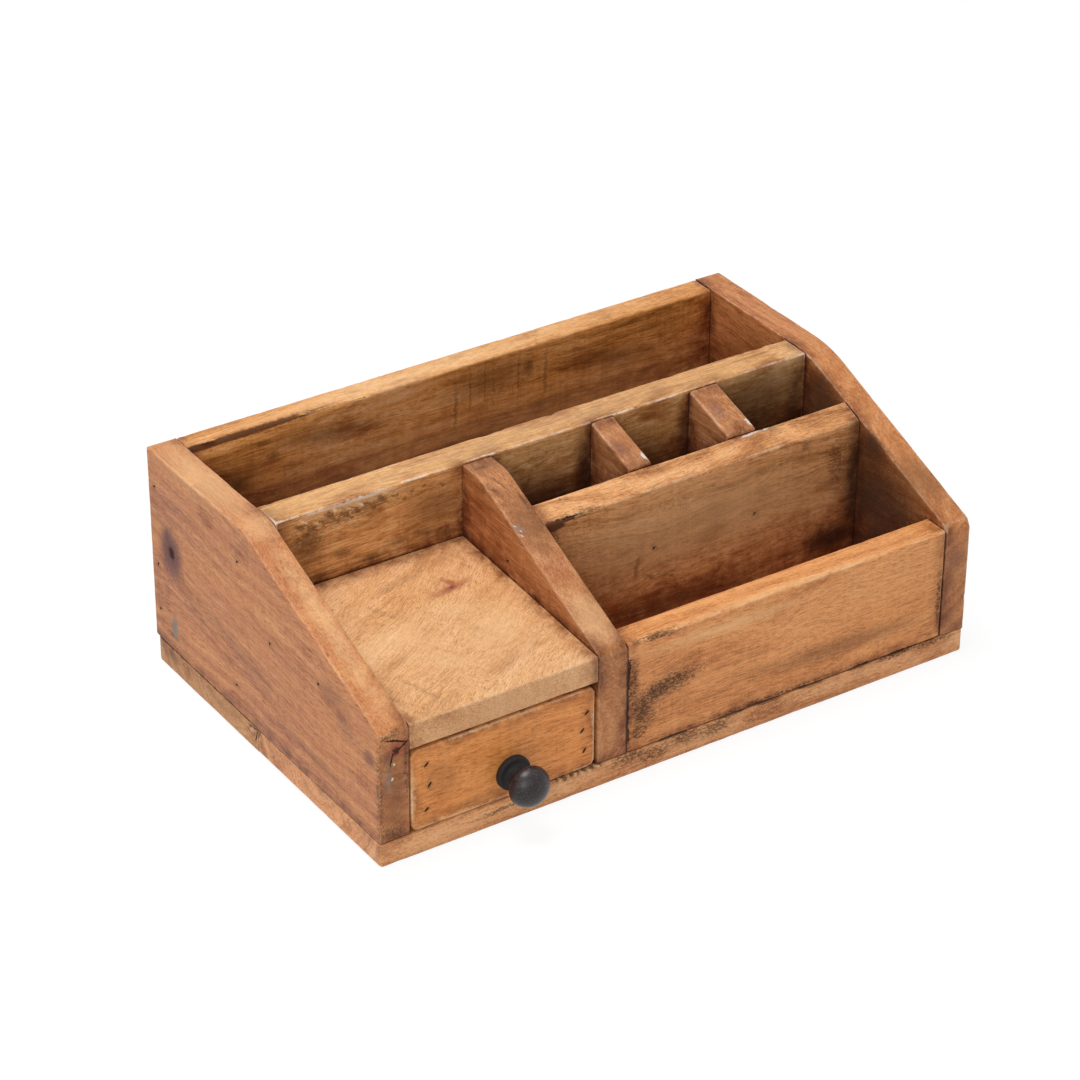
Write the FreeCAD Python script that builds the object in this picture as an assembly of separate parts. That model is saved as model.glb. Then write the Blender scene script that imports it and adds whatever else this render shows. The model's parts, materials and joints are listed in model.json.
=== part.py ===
import FreeCAD, Part
import math
import os
from FreeCAD import Placement, Rotation, Vector

# Desk organizer of reclaimed hardwood, nailed together from sawn boards.
# Sloping sides carry a long rear trough, three pen slots, a front compartment,
# and a fixed shelf over one small drawer.
# X runs to the right, Y to the back, Z up. The origin is the centre of the base's underside.
# Every length is in millimetres.

# Overall sizes
length = 270.0
depth = 170.0
height = 96.0

# Base: two planks side by side
base_thick = 11.0
front_plank_width = 89.0
plank_gap = 0.2
base_rear_corner_radius = 4.0

# Sides: level at the back, then one straight slope down to the front
left_side_thick = 13.0
right_side_thick = 12.0
left_front_height = 59.0
right_front_height = 60.4
left_kink_behind = 3.1
right_kink_ahead = 0.4
left_kink_radius = 12.0
right_kink_radius = 55.0
left_nose_radius = 2.0
right_nose_radius = 4.5

# Boards between the sides, from the back to the front
back_thick = 11.5
back_wane_width = 3.2
back_wane_depth = 8.0
long_partition_thick = 14.4
slot_depth = 26.3
short_partition_thick = 10.3
front_compartment_depth = 44.3
front_panel_thick = 12.5
front_panel_height = 48.4

# Boards along the depth, from the right to the left
third_slot_width = 43.8
right_divider_thick = 13.6
second_slot_width = 36.0
left_divider_thick = 10.7
first_slot_width = 45.7
middle_divider_thick = 13.2

# Tops of the inner boards
middle_drop = 1.0
middle_flat = 11.3
middle_kink_radius = 20.0
short_proud = 1.9
slot_divider_drop = 0.6
slot_divider_proud = 1.0

# Shelf over the drawer, a little higher at the back
shelf_thick = 11.5
shelf_drop = 0.2
shelf_rise = 5.2

# Soft edges left by sanding
board_edge = 1.4
side_edge = 1.8
inner_edge = 0.9
drawer_edge = 1.2
drawer_corner = 2.6

# Drawer, running on the base between the left side and the middle divider
drawer_gap_left = 0.5
drawer_gap_right = 1.2
drawer_gap_below = 0.3
drawer_gap_above = 0.8
drawer_gap_rear = 1.5
drawer_front_thick = 10.0
drawer_side_thick = 10.0
drawer_back_thick = 9.0
drawer_bottom_thick = 4.0
drawer_side_drop = 2.5
drawer_back_drop = 5.0
drawer_set_back = 0.2

# Knob: turned rosette, waisted neck and domed head, drawn up by a screw from inside
rosette_radius = 7.1
rosette_thick = 2.3
rosette_round = 0.7
neck_radius = 3.8
neck_flare = 1.2
neck_waist = 2.4
neck_length = 7.7
head_radius = 8.3
head_rim = 1.6
head_dome = 6.2
knob_across_share = 0.543
knob_up_share = 0.301

# Knob screw
screw_radius = 1.9
screw_head_radius = 3.6
screw_head_thick = 1.6
screw_bite = 9.0
screw_clearance = 0.15
screw_thread_clearance = 0.03
screw_slot_width = 0.9
screw_slot_depth = 0.8

# Brads: wire strip nails of rectangular section with a chisel point
brad_long = 25.0
brad_short = 19.0
brad_tack = 12.0
brad_width = 1.6
brad_thick = 1.0
brad_point = 2.0
brad_set = 0.5
shelf_brad_inset = 2.1
brad_clearance = 0.03
brad_turn = 35.0

# One overrun serves all cuts
overrun = 1.0

# Planes that the boards meet at
left_x = -length / 2
right_x = length / 2
front_y = -depth / 2
back_y = depth / 2
base_top = base_thick

left_inner = left_x + left_side_thick
right_inner = right_x - right_side_thick

back_inner = back_y - back_thick
front_inner = front_y + front_panel_thick
short_front = front_inner + front_compartment_depth
short_back = short_front + short_partition_thick
long_front = short_back + slot_depth
long_back = long_front + long_partition_thick

divider_right_x1 = right_inner - third_slot_width
divider_right_x0 = divider_right_x1 - right_divider_thick
divider_left_x1 = divider_right_x0 - second_slot_width
divider_left_x0 = divider_left_x1 - left_divider_thick
middle_x1 = divider_left_x0 - first_slot_width
middle_x0 = middle_x1 - middle_divider_thick

divider_middles = (
    (middle_x0 + middle_x1) / 2,
    (divider_left_x0 + divider_left_x1) / 2,
    (divider_right_x0 + divider_right_x1) / 2,
)

# The slopes start near the long partition's front face, and the short partition's top lies in them
left_kink_y = long_front + left_kink_behind
right_kink_y = long_front - right_kink_ahead
middle_kink_y = long_front - middle_flat
middle_top = height - middle_drop
slope_fall = (height - left_front_height) / (left_kink_y - front_y)
short_back_top = height - slope_fall * (left_kink_y - short_back) + short_proud
short_front_top = height - slope_fall * (left_kink_y - short_front) + short_proud

shelf_front_top = left_front_height - shelf_drop
shelf_front_under = shelf_front_top - shelf_thick

drawer_x0 = left_inner + drawer_gap_left
drawer_x1 = middle_x0 - drawer_gap_right
drawer_z0 = base_top + drawer_gap_below
drawer_z1 = shelf_front_under - drawer_gap_above
drawer_y0 = front_y + drawer_set_back
drawer_y1 = long_front - drawer_gap_rear
drawer_front_y1 = drawer_y0 + drawer_front_thick
drawer_back_y0 = drawer_y1 - drawer_back_thick
drawer_floor = drawer_z0 + drawer_bottom_thick
drawer_side_top = drawer_z1 - drawer_side_drop
drawer_back_top = drawer_side_top - drawer_back_drop
drawer_inner_x0 = drawer_x0 + drawer_side_thick
drawer_inner_x1 = drawer_x1 - drawer_side_thick
drawer_middle_x = (drawer_x0 + drawer_x1) / 2

# Directions that brads are driven in
to_right = Vector(1, 0, 0)
to_left = Vector(-1, 0, 0)
to_back = Vector(0, 1, 0)
to_front = Vector(0, -1, 0)
upward = Vector(0, 0, 1)

# Each brad is entered by its group, and the slots that it leaves by the body that it is driven into
brads = {}
slots = {"case": [], "drawer": []}


def between(low, high, share):
    """The place that lies this share of the way from low to high."""
    return low + (high - low) * share


def box(x0, x1, y0, y1, z0, z1):
    """A plain block between three pairs of planes."""
    return Part.makeBox(x1 - x0, y1 - y0, z1 - z0, Vector(x0, y0, z0))


def softened(shape, radius, picked):
    """The same board with the picked edges sanded round; picked is a test of an edge's bounds."""
    return shape.makeFillet(radius, [edge for edge in shape.Edges if picked(edge.BoundBox)])


def lengthwise(bounds):
    """Whether an edge runs along the organizer's length."""
    return bounds.XLength > bounds.YLength + bounds.ZLength


def topped_board(x0, x1, y0, y1, z0, z1, radius):
    """A square-sawn board that stands on edge, with its two long top edges sanded round."""
    middle = (z0 + z1) / 2
    return softened(box(x0, x1, y0, y1, z0, z1), radius, lambda edge: lengthwise(edge) and edge.ZMin > middle)


def outline_face(points):
    """A face in Y and Z, bounded by straight lines and arcs.

    Each point is (y, z) for a sharp corner, or (y, z, radius) for one rounded by an arc.
    """
    corners = [Vector(0, point[0], point[1]) for point in points]
    arcs = []
    for index, corner in enumerate(corners):
        radius = points[index][2] if len(points[index]) > 2 else 0
        arriving = (corner - corners[index - 1]).normalize()
        leaving = (corners[(index + 1) % len(corners)] - corner).normalize()
        half_turn = arriving.getAngle(leaving) / 2
        reach = radius * math.tan(half_turn)
        inward = (leaving - arriving).normalize()
        middle = corner + inward * (radius / math.cos(half_turn) - radius)
        arcs.append((corner - arriving * reach, middle, corner + leaving * reach))
    edges = []
    for index, (start, middle, end) in enumerate(arcs):
        if start != end:
            edges.append(Part.Arc(start, middle, end).toShape())
        edges.append(Part.makeLine(end, arcs[(index + 1) % len(arcs)][0]))
    return Part.Face(Part.Wire(edges))


def profile_board(points, x0, x1):
    """A board whose outline is drawn in Y and Z and extruded in X."""
    face = outline_face(points)
    face.translate(Vector(x0, 0, 0))
    return face.extrude(Vector(x1 - x0, 0, 0))


def along(axis):
    """The rotation that turns +Z to the given direction."""
    return Rotation(Vector(0, 0, 1), axis)


def brad_blank(at, axis, turn, long, room, mouth):
    """A brad driven in at a point, or its slot: room is the clearance, mouth the depth of its top."""
    half_width = brad_width / 2 + room
    half_thick = brad_thick / 2 + room
    shoulder = long - brad_point
    corners = [
        Vector(-half_width, -half_thick, mouth),
        Vector(half_width, -half_thick, mouth),
        Vector(half_width, -half_thick, shoulder),
        Vector(0, -half_thick, long + room),
        Vector(-half_width, -half_thick, shoulder),
    ]
    blank = Part.Face(Part.makePolygon(corners + corners[:1])).extrude(Vector(0, 2 * half_thick, 0))
    blank.Placement = Placement(at, along(axis) * Rotation(Vector(0, 0, 1), turn))
    return blank


def drive(group, at, axis, long, turn=0):
    """Drive one brad: enter it in its group and keep the slot that it leaves."""
    body = "drawer" if group.startswith("drawer") else "case"
    brads.setdefault(group, []).append(brad_blank(at, axis, turn, long, 0, brad_set))
    slots[body].append(brad_blank(at, axis, turn, long, brad_clearance, -overrun))


def slotted(shape, body):
    """The board with a slot for each brad that passes through it or ends in it."""
    reach = shape.BoundBox
    cuts = [slot for slot in slots[body] if reach.intersect(slot.BoundBox)]
    return shape.cut(cuts) if cuts else shape


def side_profile(kink_y, front_height, kink_radius, nose_radius):
    """The outline of a side: level top at the back, slope to the front, vertical nose."""
    return [
        (front_y, base_top),
        (back_y, base_top),
        (back_y, height),
        (kink_y, height, kink_radius),
        (front_y, front_height, nose_radius),
    ]


def drive_side_brads():
    """The brads through the two sides into what stands between them."""
    back_height_shares = (0.17, 0.41, 0.82)
    at_y = between(back_inner, back_y, 0.55)
    for share in back_height_shares:
        at_z = between(base_top, height, share)
        drive("left_side_brads", Vector(left_x, at_y, at_z), to_right, brad_long, brad_turn)
        drive("right_side_brads", Vector(right_x, at_y, at_z), to_left, brad_long, brad_turn)

    partition_shares = ((0.14, 0.78), (0.81, 0.49))
    for height_share, inset_share in partition_shares:
        at_y = between(long_front, long_back, inset_share)
        at_z = between(base_top, height, height_share)
        drive("left_side_brads", Vector(left_x, at_y, at_z), to_right, brad_long, brad_turn)
        drive("right_side_brads", Vector(right_x, at_y, at_z), to_left, brad_long, brad_turn)

    shelf_shares = ((0.45, 0.70), (0.83, 0.38))
    for depth_share, thick_share in shelf_shares:
        at_y = between(front_y, long_front, depth_share)
        at_z = between(shelf_front_under, shelf_front_top, thick_share) + shelf_rise * depth_share
        drive("left_side_brads", Vector(left_x, at_y, at_z), to_right, brad_long)

    short_height_shares = (0.25, 0.80)
    for share in short_height_shares:
        at_y = between(short_front, short_back, 0.5)
        at_z = between(base_top, short_front_top, share)
        drive("right_side_brads", Vector(right_x, at_y, at_z), to_left, brad_long, brad_turn)
        drive("middle_divider_brads", Vector(middle_x0, at_y, at_z), to_right, brad_long, brad_turn)

    panel_height_shares = (0.22, 0.70)
    for share in panel_height_shares:
        at_y = between(front_y, front_inner, 0.5)
        at_z = base_top + front_panel_height * share
        drive("right_side_brads", Vector(right_x, at_y, at_z), to_left, brad_long, brad_turn)


def drive_partition_brads():
    """The brads through the two partitions into the dividers, and one askew through the shelf."""
    divider_height_shares = (0.36, 0.86)
    for at_x in divider_middles:
        for share in divider_height_shares:
            at_z = between(base_top, middle_top, share)
            drive("long_partition_brads", Vector(at_x, long_back, at_z), to_front, brad_long)

    slot_divider_share = 0.62
    for at_x in divider_middles[1:]:
        at_z = between(base_top, short_front_top, slot_divider_share)
        drive("short_partition_brads", Vector(at_x, short_front, at_z), to_back, brad_short)

    askew = math.radians(brad_turn)
    at_x = middle_x0 - shelf_brad_inset
    at_z = between(shelf_front_under, shelf_front_top, 0.5)
    lean = Vector(math.sin(askew), math.cos(askew), 0)
    drive("shelf_brad", Vector(at_x, front_y, at_z), lean, brad_long)


def drive_base_brads():
    """The brads up through the base into each board that stands on it."""
    side_shares = (0.10, 0.38, 0.90)
    for share in side_shares:
        at_y = between(front_y, back_y, share)
        for at_x in (between(left_x, left_inner, 0.5), between(right_inner, right_x, 0.5)):
            drive("base_brads", Vector(at_x, at_y, 0), upward, brad_long)

    crosswise_shares = (0.2, 0.8)
    for share in crosswise_shares:
        rear_x = between(left_inner, right_inner, share)
        panel_x = between(middle_x1, right_inner, share)
        drive("base_brads", Vector(rear_x, between(back_inner, back_y, 0.5), 0), upward, brad_long)
        drive("base_brads", Vector(rear_x, between(long_front, long_back, 0.5), 0), upward, brad_long)
        drive("base_brads", Vector(panel_x, between(front_y, front_inner, 0.5), 0), upward, brad_long)

    middle_shares = (0.12, 0.72)
    for share in middle_shares:
        at_y = between(front_y, long_front, share)
        drive("base_brads", Vector(divider_middles[0], at_y, 0), upward, brad_long)


def drive_drawer_brads():
    """The brads of the drawer: front into sides, sides into back, bottom into sides and back."""
    # The brads of the front are uneven: shares of the drawer's height and of a side's thickness
    left_front_shares = ((0.22, 0.66), (0.52, 0.80), (0.78, 0.67))
    right_front_shares = ((0.23, 0.54), (0.49, 0.43), (0.70, 0.63))
    for side_x0, pairs in ((drawer_x0, left_front_shares), (drawer_inner_x1, right_front_shares)):
        for up_share, across_share in pairs:
            at_x = side_x0 + drawer_side_thick * across_share
            at_z = between(drawer_z0, drawer_z1, up_share)
            drive("drawer_front_brads", Vector(at_x, drawer_y0, at_z), to_back, brad_short, -brad_turn)

    # Left and right brads of the back are staggered in height, and stand behind the bottom's brad
    back_side_shares = ((drawer_x0, to_right, (0.20, 0.65)), (drawer_x1, to_left, (0.35, 0.80)))
    at_y = between(drawer_back_y0, drawer_y1, 0.7)
    for at_x, direction, height_shares in back_side_shares:
        for share in height_shares:
            at_z = between(drawer_floor, drawer_back_top, share)
            drive("drawer_back_brads", Vector(at_x, at_y, at_z), direction, brad_short)
    tack_y = between(drawer_back_y0, drawer_y1, 0.3)
    drive("drawer_bottom_brads", Vector(drawer_middle_x, tack_y, drawer_z0), upward, brad_tack)

    bottom_shares = (0.15, 0.75)
    for share in bottom_shares:
        at_y = between(drawer_front_y1, drawer_back_y0, share)
        for at_x in (drawer_x0 + drawer_side_thick / 2, drawer_x1 - drawer_side_thick / 2):
            drive("drawer_bottom_brads", Vector(at_x, at_y, drawer_z0), upward, brad_tack)


def base_planks():
    """Two planks side by side with soft long edges; the base's rear left corner is worn round."""
    seam_y = front_y + front_plank_width
    rear_y0 = seam_y + plank_gap
    front_plank = box(left_x, right_x, front_y, seam_y, 0, base_thick)
    rear_plank = box(left_x, right_x, rear_y0, back_y, 0, base_thick)
    rear_middle = (rear_y0 + back_y) / 2
    rear_plank = softened(
        rear_plank,
        base_rear_corner_radius,
        lambda edge: edge.XMax < 0 and edge.YMin > rear_middle and edge.ZLength > edge.YLength,
    )
    return {
        "base_front_plank": softened(front_plank, board_edge, lengthwise),
        "base_rear_plank": softened(rear_plank, board_edge, lengthwise),
    }


def sides():
    """The two outer boards, cut to the same slope by hand and so not quite alike."""
    left = side_profile(left_kink_y, left_front_height, left_kink_radius, left_nose_radius)
    right = side_profile(right_kink_y, right_front_height, right_kink_radius, right_nose_radius)
    low = base_top + side_edge
    return {
        "left_side": softened(profile_board(left, left_x, left_inner), side_edge, lambda edge: edge.ZMax > low),
        "right_side": softened(profile_board(right, right_inner, right_x), side_edge, lambda edge: edge.ZMax > low),
    }


def back_panel():
    """The rear board, with wane left along the first third of its inner top edge."""
    panel = topped_board(left_inner, right_inner, back_inner, back_y, base_top, height, inner_edge)
    wane_length = (right_inner - left_inner) / 3
    start = [
        Vector(left_inner - overrun, back_inner - overrun, height - back_wane_depth),
        Vector(left_inner - overrun, back_inner - overrun, height + overrun),
        Vector(left_inner - overrun, back_inner + back_wane_width, height + overrun),
    ]
    tip = Vector(left_inner + wane_length, back_inner - overrun, height + overrun)
    faces = [Part.Face(Part.makePolygon(start + start[:1]))]
    for index, corner in enumerate(start):
        flank = [start[index - 1], corner, tip]
        faces.append(Part.Face(Part.makePolygon(flank + flank[:1])))
    wane = Part.makeSolid(Part.makeShell(faces))
    return {"back_panel": panel.cut(wane)}


def partitions():
    """The two boards along the length: one level and tall, one lower with a sloping top."""
    tall = topped_board(left_inner, right_inner, long_front, long_back, base_top, height, inner_edge)
    outline = [
        (short_front, base_top),
        (short_back, base_top),
        (short_back, short_back_top),
        (short_front, short_front_top),
    ]
    low = profile_board(outline, middle_x1, right_inner)
    middle = (base_top + short_front_top) / 2
    low = softened(low, inner_edge, lambda edge: lengthwise(edge) and edge.ZMin > middle)
    return {"long_partition": tall, "short_partition": low}


def middle_divider():
    """The divider beside the drawer, sloped as the sides are."""
    outline = [
        (front_y, base_top),
        (long_front, base_top),
        (long_front, middle_top),
        (middle_kink_y, middle_top, middle_kink_radius),
        (front_y, left_front_height, left_nose_radius),
    ]
    low = base_top + inner_edge
    back = long_front - inner_edge
    board = profile_board(outline, middle_x0, middle_x1)
    return {"middle_divider": softened(board, inner_edge, lambda edge: edge.ZMax > low and edge.YMin < back)}


def slot_dividers():
    """The two short dividers of the pen slots, which slope a little and stand proud at the front."""
    outline = [
        (short_back, base_top),
        (long_front, base_top),
        (long_front, height - slot_divider_drop),
        (short_back, short_back_top + slot_divider_proud),
    ]
    middle = (base_top + short_back_top) / 2
    spans = {
        "slot_divider_left": (divider_left_x0, divider_left_x1),
        "slot_divider_right": (divider_right_x0, divider_right_x1),
    }
    return {
        name: softened(
            profile_board(outline, x0, x1),
            inner_edge,
            lambda edge: edge.ZMin > middle and edge.YLength > edge.XLength,
        )
        for name, (x0, x1) in spans.items()
    }


def front_panel():
    """The low board across the front compartment."""
    top = base_top + front_panel_height
    return {"front_panel": topped_board(middle_x1, right_inner, front_y, front_inner, base_top, top, board_edge)}


def shelf():
    """The fixed board over the drawer, nailed through the left side and tipped up at the back."""
    outline = [
        (front_y, shelf_front_under),
        (long_front, shelf_front_under + shelf_rise),
        (long_front, shelf_front_top + shelf_rise),
        (front_y, shelf_front_top),
    ]
    board = profile_board(outline, left_inner, middle_x0)
    return {"shelf": softened(board, inner_edge, lambda edge: lengthwise(edge) and edge.YMax < 0)}


def to_drawer(shape):
    """A shape turned about Z, moved to the knob's place on the drawer front with +Z to the front."""
    at_x = between(drawer_x0, drawer_x1, knob_across_share)
    at_z = between(drawer_z0, drawer_z1, knob_up_share)
    shape.Placement = Placement(Vector(at_x, drawer_y0, at_z), along(to_front))
    return shape


def knob():
    """The knob, turned in one: flat rosette, waisted neck and domed head."""
    face_z = rosette_thick
    waist_z = face_z + neck_waist
    rim_low = face_z + neck_length
    rim_high = rim_low + head_rim
    top_z = rim_high + head_dome
    rosette_flat = rosette_radius - rosette_round
    root_radius = neck_radius + neck_flare
    bend = math.sqrt(0.5)

    # The dome is a ball's cap with its centre on the axis
    ball_radius = (head_radius ** 2 + head_dome ** 2) / (2 * head_dome)
    half_angle = math.asin(head_radius / ball_radius) / 2

    def at(radius, z):
        return Vector(radius, 0, z)

    flare_middle = at(root_radius - neck_flare * bend, waist_z - neck_waist * bend)
    dome_middle = at(ball_radius * math.sin(half_angle), top_z - ball_radius * (1 - math.cos(half_angle)))
    edges = [
        Part.makeLine(at(0, 0), at(rosette_radius, 0)),
        Part.makeLine(at(rosette_radius, 0), at(rosette_radius, face_z - rosette_round)),
        Part.makeLine(at(rosette_radius, face_z - rosette_round), at(rosette_flat, face_z)),
        Part.makeLine(at(rosette_flat, face_z), at(root_radius, face_z)),
        Part.Arc(at(root_radius, face_z), flare_middle, at(neck_radius, waist_z)).toShape(),
        Part.makeLine(at(neck_radius, waist_z), at(head_radius, rim_low)),
        Part.makeLine(at(head_radius, rim_low), at(head_radius, rim_high)),
        Part.Arc(at(head_radius, rim_high), dome_middle, at(0, top_z)).toShape(),
        Part.makeLine(at(0, top_z), at(0, 0)),
    ]
    bore = Part.makeCylinder(screw_radius + screw_thread_clearance, screw_bite + 2 * overrun, at(0, -overrun))
    return {"knob": to_drawer(Part.Face(Part.Wire(edges)).revolve(at(0, 0), upward, 360).cut(bore))}


def knob_screw():
    """The screw that goes out through the drawer front into the knob, with a slotted head."""
    head_top = -drawer_front_thick
    head_low = head_top - screw_head_thick
    crown_radius = screw_head_radius - screw_head_thick / 2
    shank = Part.makeCylinder(screw_radius, drawer_front_thick + screw_bite, Vector(0, 0, head_top))
    head = Part.makeCone(crown_radius, screw_head_radius, screw_head_thick, Vector(0, 0, head_low))
    half = screw_slot_width / 2
    wide = screw_head_radius + overrun
    slot = box(-wide, wide, -half, half, head_low - overrun, head_low + screw_slot_depth)
    return {"knob_screw": to_drawer(shank.fuse(head.cut(slot)).removeSplitter())}


def screw_hole():
    """The clear hole for the knob screw through the drawer front."""
    long = drawer_front_thick + 2 * overrun
    return to_drawer(Part.makeCylinder(screw_radius + screw_clearance, long, Vector(0, 0, overrun - long)))


def drawer_boards():
    """A plain nailed box: front, two sides on a thin bottom, and a lower back."""
    front = box(drawer_x0, drawer_x1, drawer_y0, drawer_front_y1, drawer_z0, drawer_z1)
    front = softened(front, drawer_corner, lambda edge: edge.YLength > edge.XLength + edge.ZLength)
    front = softened(front, drawer_edge, lambda edge: edge.YMax < drawer_y0 + drawer_edge)
    side = (drawer_front_y1, drawer_y1, drawer_floor, drawer_side_top)
    rear = (drawer_back_y0, drawer_y1, drawer_floor, drawer_back_top)
    return {
        "drawer_front": front.cut(screw_hole()),
        "drawer_left_side": box(drawer_x0, drawer_inner_x0, *side),
        "drawer_right_side": box(drawer_inner_x1, drawer_x1, *side),
        "drawer_back": topped_board(drawer_inner_x0, drawer_inner_x1, *rear, inner_edge),
        "drawer_bottom": box(drawer_x0, drawer_x1, drawer_front_y1, drawer_y1, drawer_z0, drawer_floor),
    }


def build():
    """Every node of the organizer by its name."""
    drive_side_brads()
    drive_partition_brads()
    drive_base_brads()
    drive_drawer_brads()
    nodes = {}
    for maker in (base_planks, sides, back_panel, partitions, middle_divider, slot_dividers, front_panel, shelf):
        nodes.update({name: slotted(shape, "case") for name, shape in maker().items()})
    nodes.update({name: slotted(shape, "drawer") for name, shape in drawer_boards().items()})
    nodes.update(knob())
    nodes.update(knob_screw())
    for group, solids in brads.items():
        nodes[group] = Part.makeCompound(solids)
    return nodes


os.makedirs("parts", exist_ok=True)
for name, shape in build().items():
    shape.exportStep("parts/" + name + ".step")
    print(name, len(shape.Solids), "solids", round(shape.Volume), "mm3", "valid" if shape.isValid() else "INVALID")
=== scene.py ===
"""Desk organizer with sloping sides and a small drawer: the looks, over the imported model."""

import json
import math

import bmesh
import bpy
from bpy.props import FloatProperty, FloatVectorProperty, PointerProperty
from mathutils import Matrix, Vector
from mathutils.bvhtree import BVHTree
from mathutils.kdtree import KDTree

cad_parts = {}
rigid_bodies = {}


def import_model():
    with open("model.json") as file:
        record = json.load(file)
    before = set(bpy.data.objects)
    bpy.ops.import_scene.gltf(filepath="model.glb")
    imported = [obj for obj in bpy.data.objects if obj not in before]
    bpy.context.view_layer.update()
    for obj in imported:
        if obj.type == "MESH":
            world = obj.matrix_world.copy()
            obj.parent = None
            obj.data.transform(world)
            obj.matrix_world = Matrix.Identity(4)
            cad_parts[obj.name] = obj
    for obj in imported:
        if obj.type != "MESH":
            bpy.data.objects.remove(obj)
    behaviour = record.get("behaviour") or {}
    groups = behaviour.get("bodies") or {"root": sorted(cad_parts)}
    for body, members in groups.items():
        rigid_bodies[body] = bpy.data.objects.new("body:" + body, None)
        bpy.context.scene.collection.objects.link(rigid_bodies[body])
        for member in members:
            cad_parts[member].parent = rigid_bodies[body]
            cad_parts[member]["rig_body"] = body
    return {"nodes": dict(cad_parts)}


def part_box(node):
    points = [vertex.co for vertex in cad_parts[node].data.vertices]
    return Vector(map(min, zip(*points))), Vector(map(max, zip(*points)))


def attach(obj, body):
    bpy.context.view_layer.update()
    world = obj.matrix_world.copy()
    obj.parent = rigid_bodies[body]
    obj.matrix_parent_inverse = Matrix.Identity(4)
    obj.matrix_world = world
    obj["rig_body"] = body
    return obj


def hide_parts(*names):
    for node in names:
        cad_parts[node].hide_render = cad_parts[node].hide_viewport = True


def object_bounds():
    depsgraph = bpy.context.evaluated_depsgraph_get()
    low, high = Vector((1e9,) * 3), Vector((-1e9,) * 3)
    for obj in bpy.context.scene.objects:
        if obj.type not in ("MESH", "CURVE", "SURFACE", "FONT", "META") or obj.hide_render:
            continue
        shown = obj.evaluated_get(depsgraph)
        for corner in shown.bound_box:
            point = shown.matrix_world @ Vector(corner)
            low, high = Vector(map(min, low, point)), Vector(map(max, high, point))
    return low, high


bl_info = {
    "name": "Desk organizer",
    "version": (1, 0, 0),
    "blender": (4, 5, 0),
    "location": "3D View > Sidebar > Organizer",
    "description": "Builds the boards, drawer, knob and stage of a desk organizer",
    "category": "Object",
}

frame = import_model()
CAD_LOW, CAD_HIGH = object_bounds()
MM = 0.001


def linear(code):
    """An sRGB hex colour as linear red, green and blue."""
    parts = [int(code[i : i + 2], 16) / 255 for i in (1, 3, 5)]
    return [c / 12.92 if c <= 0.04045 else ((c + 0.055) / 1.055) ** 2.4 for c in parts]


def length(name, description, default):
    """A size in metres for the sidebar."""
    return FloatProperty(name=name, description=description, default=default, subtype="DISTANCE",
                         unit="LENGTH")


def tint(name, description, code):
    """A colour for the sidebar, from its sRGB hex code."""
    return FloatVectorProperty(name=name, description=description, default=linear(code), subtype="COLOR")


# Sizes and colours that a user would change


class OrganizerSizes(bpy.types.PropertyGroup):
    """Sizes of the boards, their slopes and their wear"""

    left_kink: length("Left kink", "Where the left side's level top turns down, front to back", 0.0115)
    left_front: length("Left front height", "Height of the left side at its front end", 0.059)
    left_nose: length("Left nose", "Radius of the left side's front top corner", 0.002)
    right_kink: length("Right kink", "Where the right side's level top turns down, front to back", 0.008)
    right_front: length("Right front height", "Height of the right side at its front end", 0.0604)
    right_nose: length("Right nose", "Radius of the right side's front top corner", 0.0045)
    divider_kink: length("Divider kink", "Where the middle divider's level top turns down, front to back",
                         -0.0029)
    divider_front: length("Divider front height", "Height of the middle divider at its front end", 0.059)
    short_fall: length("Short partition fall", "How much lower the short partition is at its front face",
                       0.0039)
    slot_fall: length("Slot divider fall", "How much lower a slot divider is at its front end", 0.0078)
    shelf_rise: length("Shelf rise", "How much higher the shelf is at its rear edge", 0.0052)
    wane_width: length("Wane width", "Width of the waney strip on top of the back panel, at its left end",
                       0.0032)
    wane_depth: length("Wane depth", "Height of the waney strip on the back panel's face, at its left end",
                       0.008)
    wane_share: FloatProperty(name="Wane share", default=0.34, subtype="FACTOR",
                              description="Part of the back panel's length that the waney strip runs along")
    corner: length("Base corner", "Radius of the base's rear left corner", 0.004)
    drawer_corner: length("Drawer corner", "Radius of the drawer front's four corners", 0.0026)
    pitch: length("Mesh pitch", "Spacing of the boards' mesh, fine enough to carry worn arrises", 0.0016)
    arris: length("Worn arris", "Radius of an arris that hands reach", 0.0011)
    tight_arris: length("Tight arris", "Radius of an arris that another board touches", 0.0003)
    wobble: length("Unevenness", "How deep the broad hollows of a hand-sanded face are", 0.00015)
    wear: length("Arris wear", "How deep the dents along a worn arris are", 0.00016)


class OrganizerColours(bpy.types.PropertyGroup):
    """Colours that more than one material reads, and the knob's and the floor's"""

    worn: tint("Worn", "Tone where the wax is rubbed off an arris", "#F3D3AE")
    dirt: tint("Dirt", "Dirt and old wax in the corners and joints", "#4A2F1B")
    knob: tint("Knob", "The knob's blackened finish", "#211819")
    floor: tint("Floor", "The pale floor and backdrop", "#F7F6F6")


# Nodes

EASED = {"interpolation_type": "SMOOTHSTEP"}


def add(tree, kind, inputs=None, out=0, **settings):
    """Adds a shader node with its settings, and gives the output asked for, or the node if out is None.
    An input given a socket is linked, and another one is set."""
    node = tree.nodes.new("ShaderNode" + kind)
    for name, value in settings.items():
        setattr(node, name, value)
    for key, value in (inputs or {}).items():
        if isinstance(value, bpy.types.NodeSocket):
            tree.links.new(value, node.inputs[key])
        else:
            node.inputs[key].default_value = value
    return node if out is None else node.outputs[out]


def new_material(name):
    """An empty material and its node tree."""
    material = bpy.data.materials.new(name)
    material.use_nodes = True
    material.node_tree.nodes.clear()
    return material, material.node_tree


def opaque(colour):
    """A linear colour, or one given as an sRGB hex code, with its alpha."""
    return [*(linear(colour) if isinstance(colour, str) else colour[:3]), 1.0]


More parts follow.
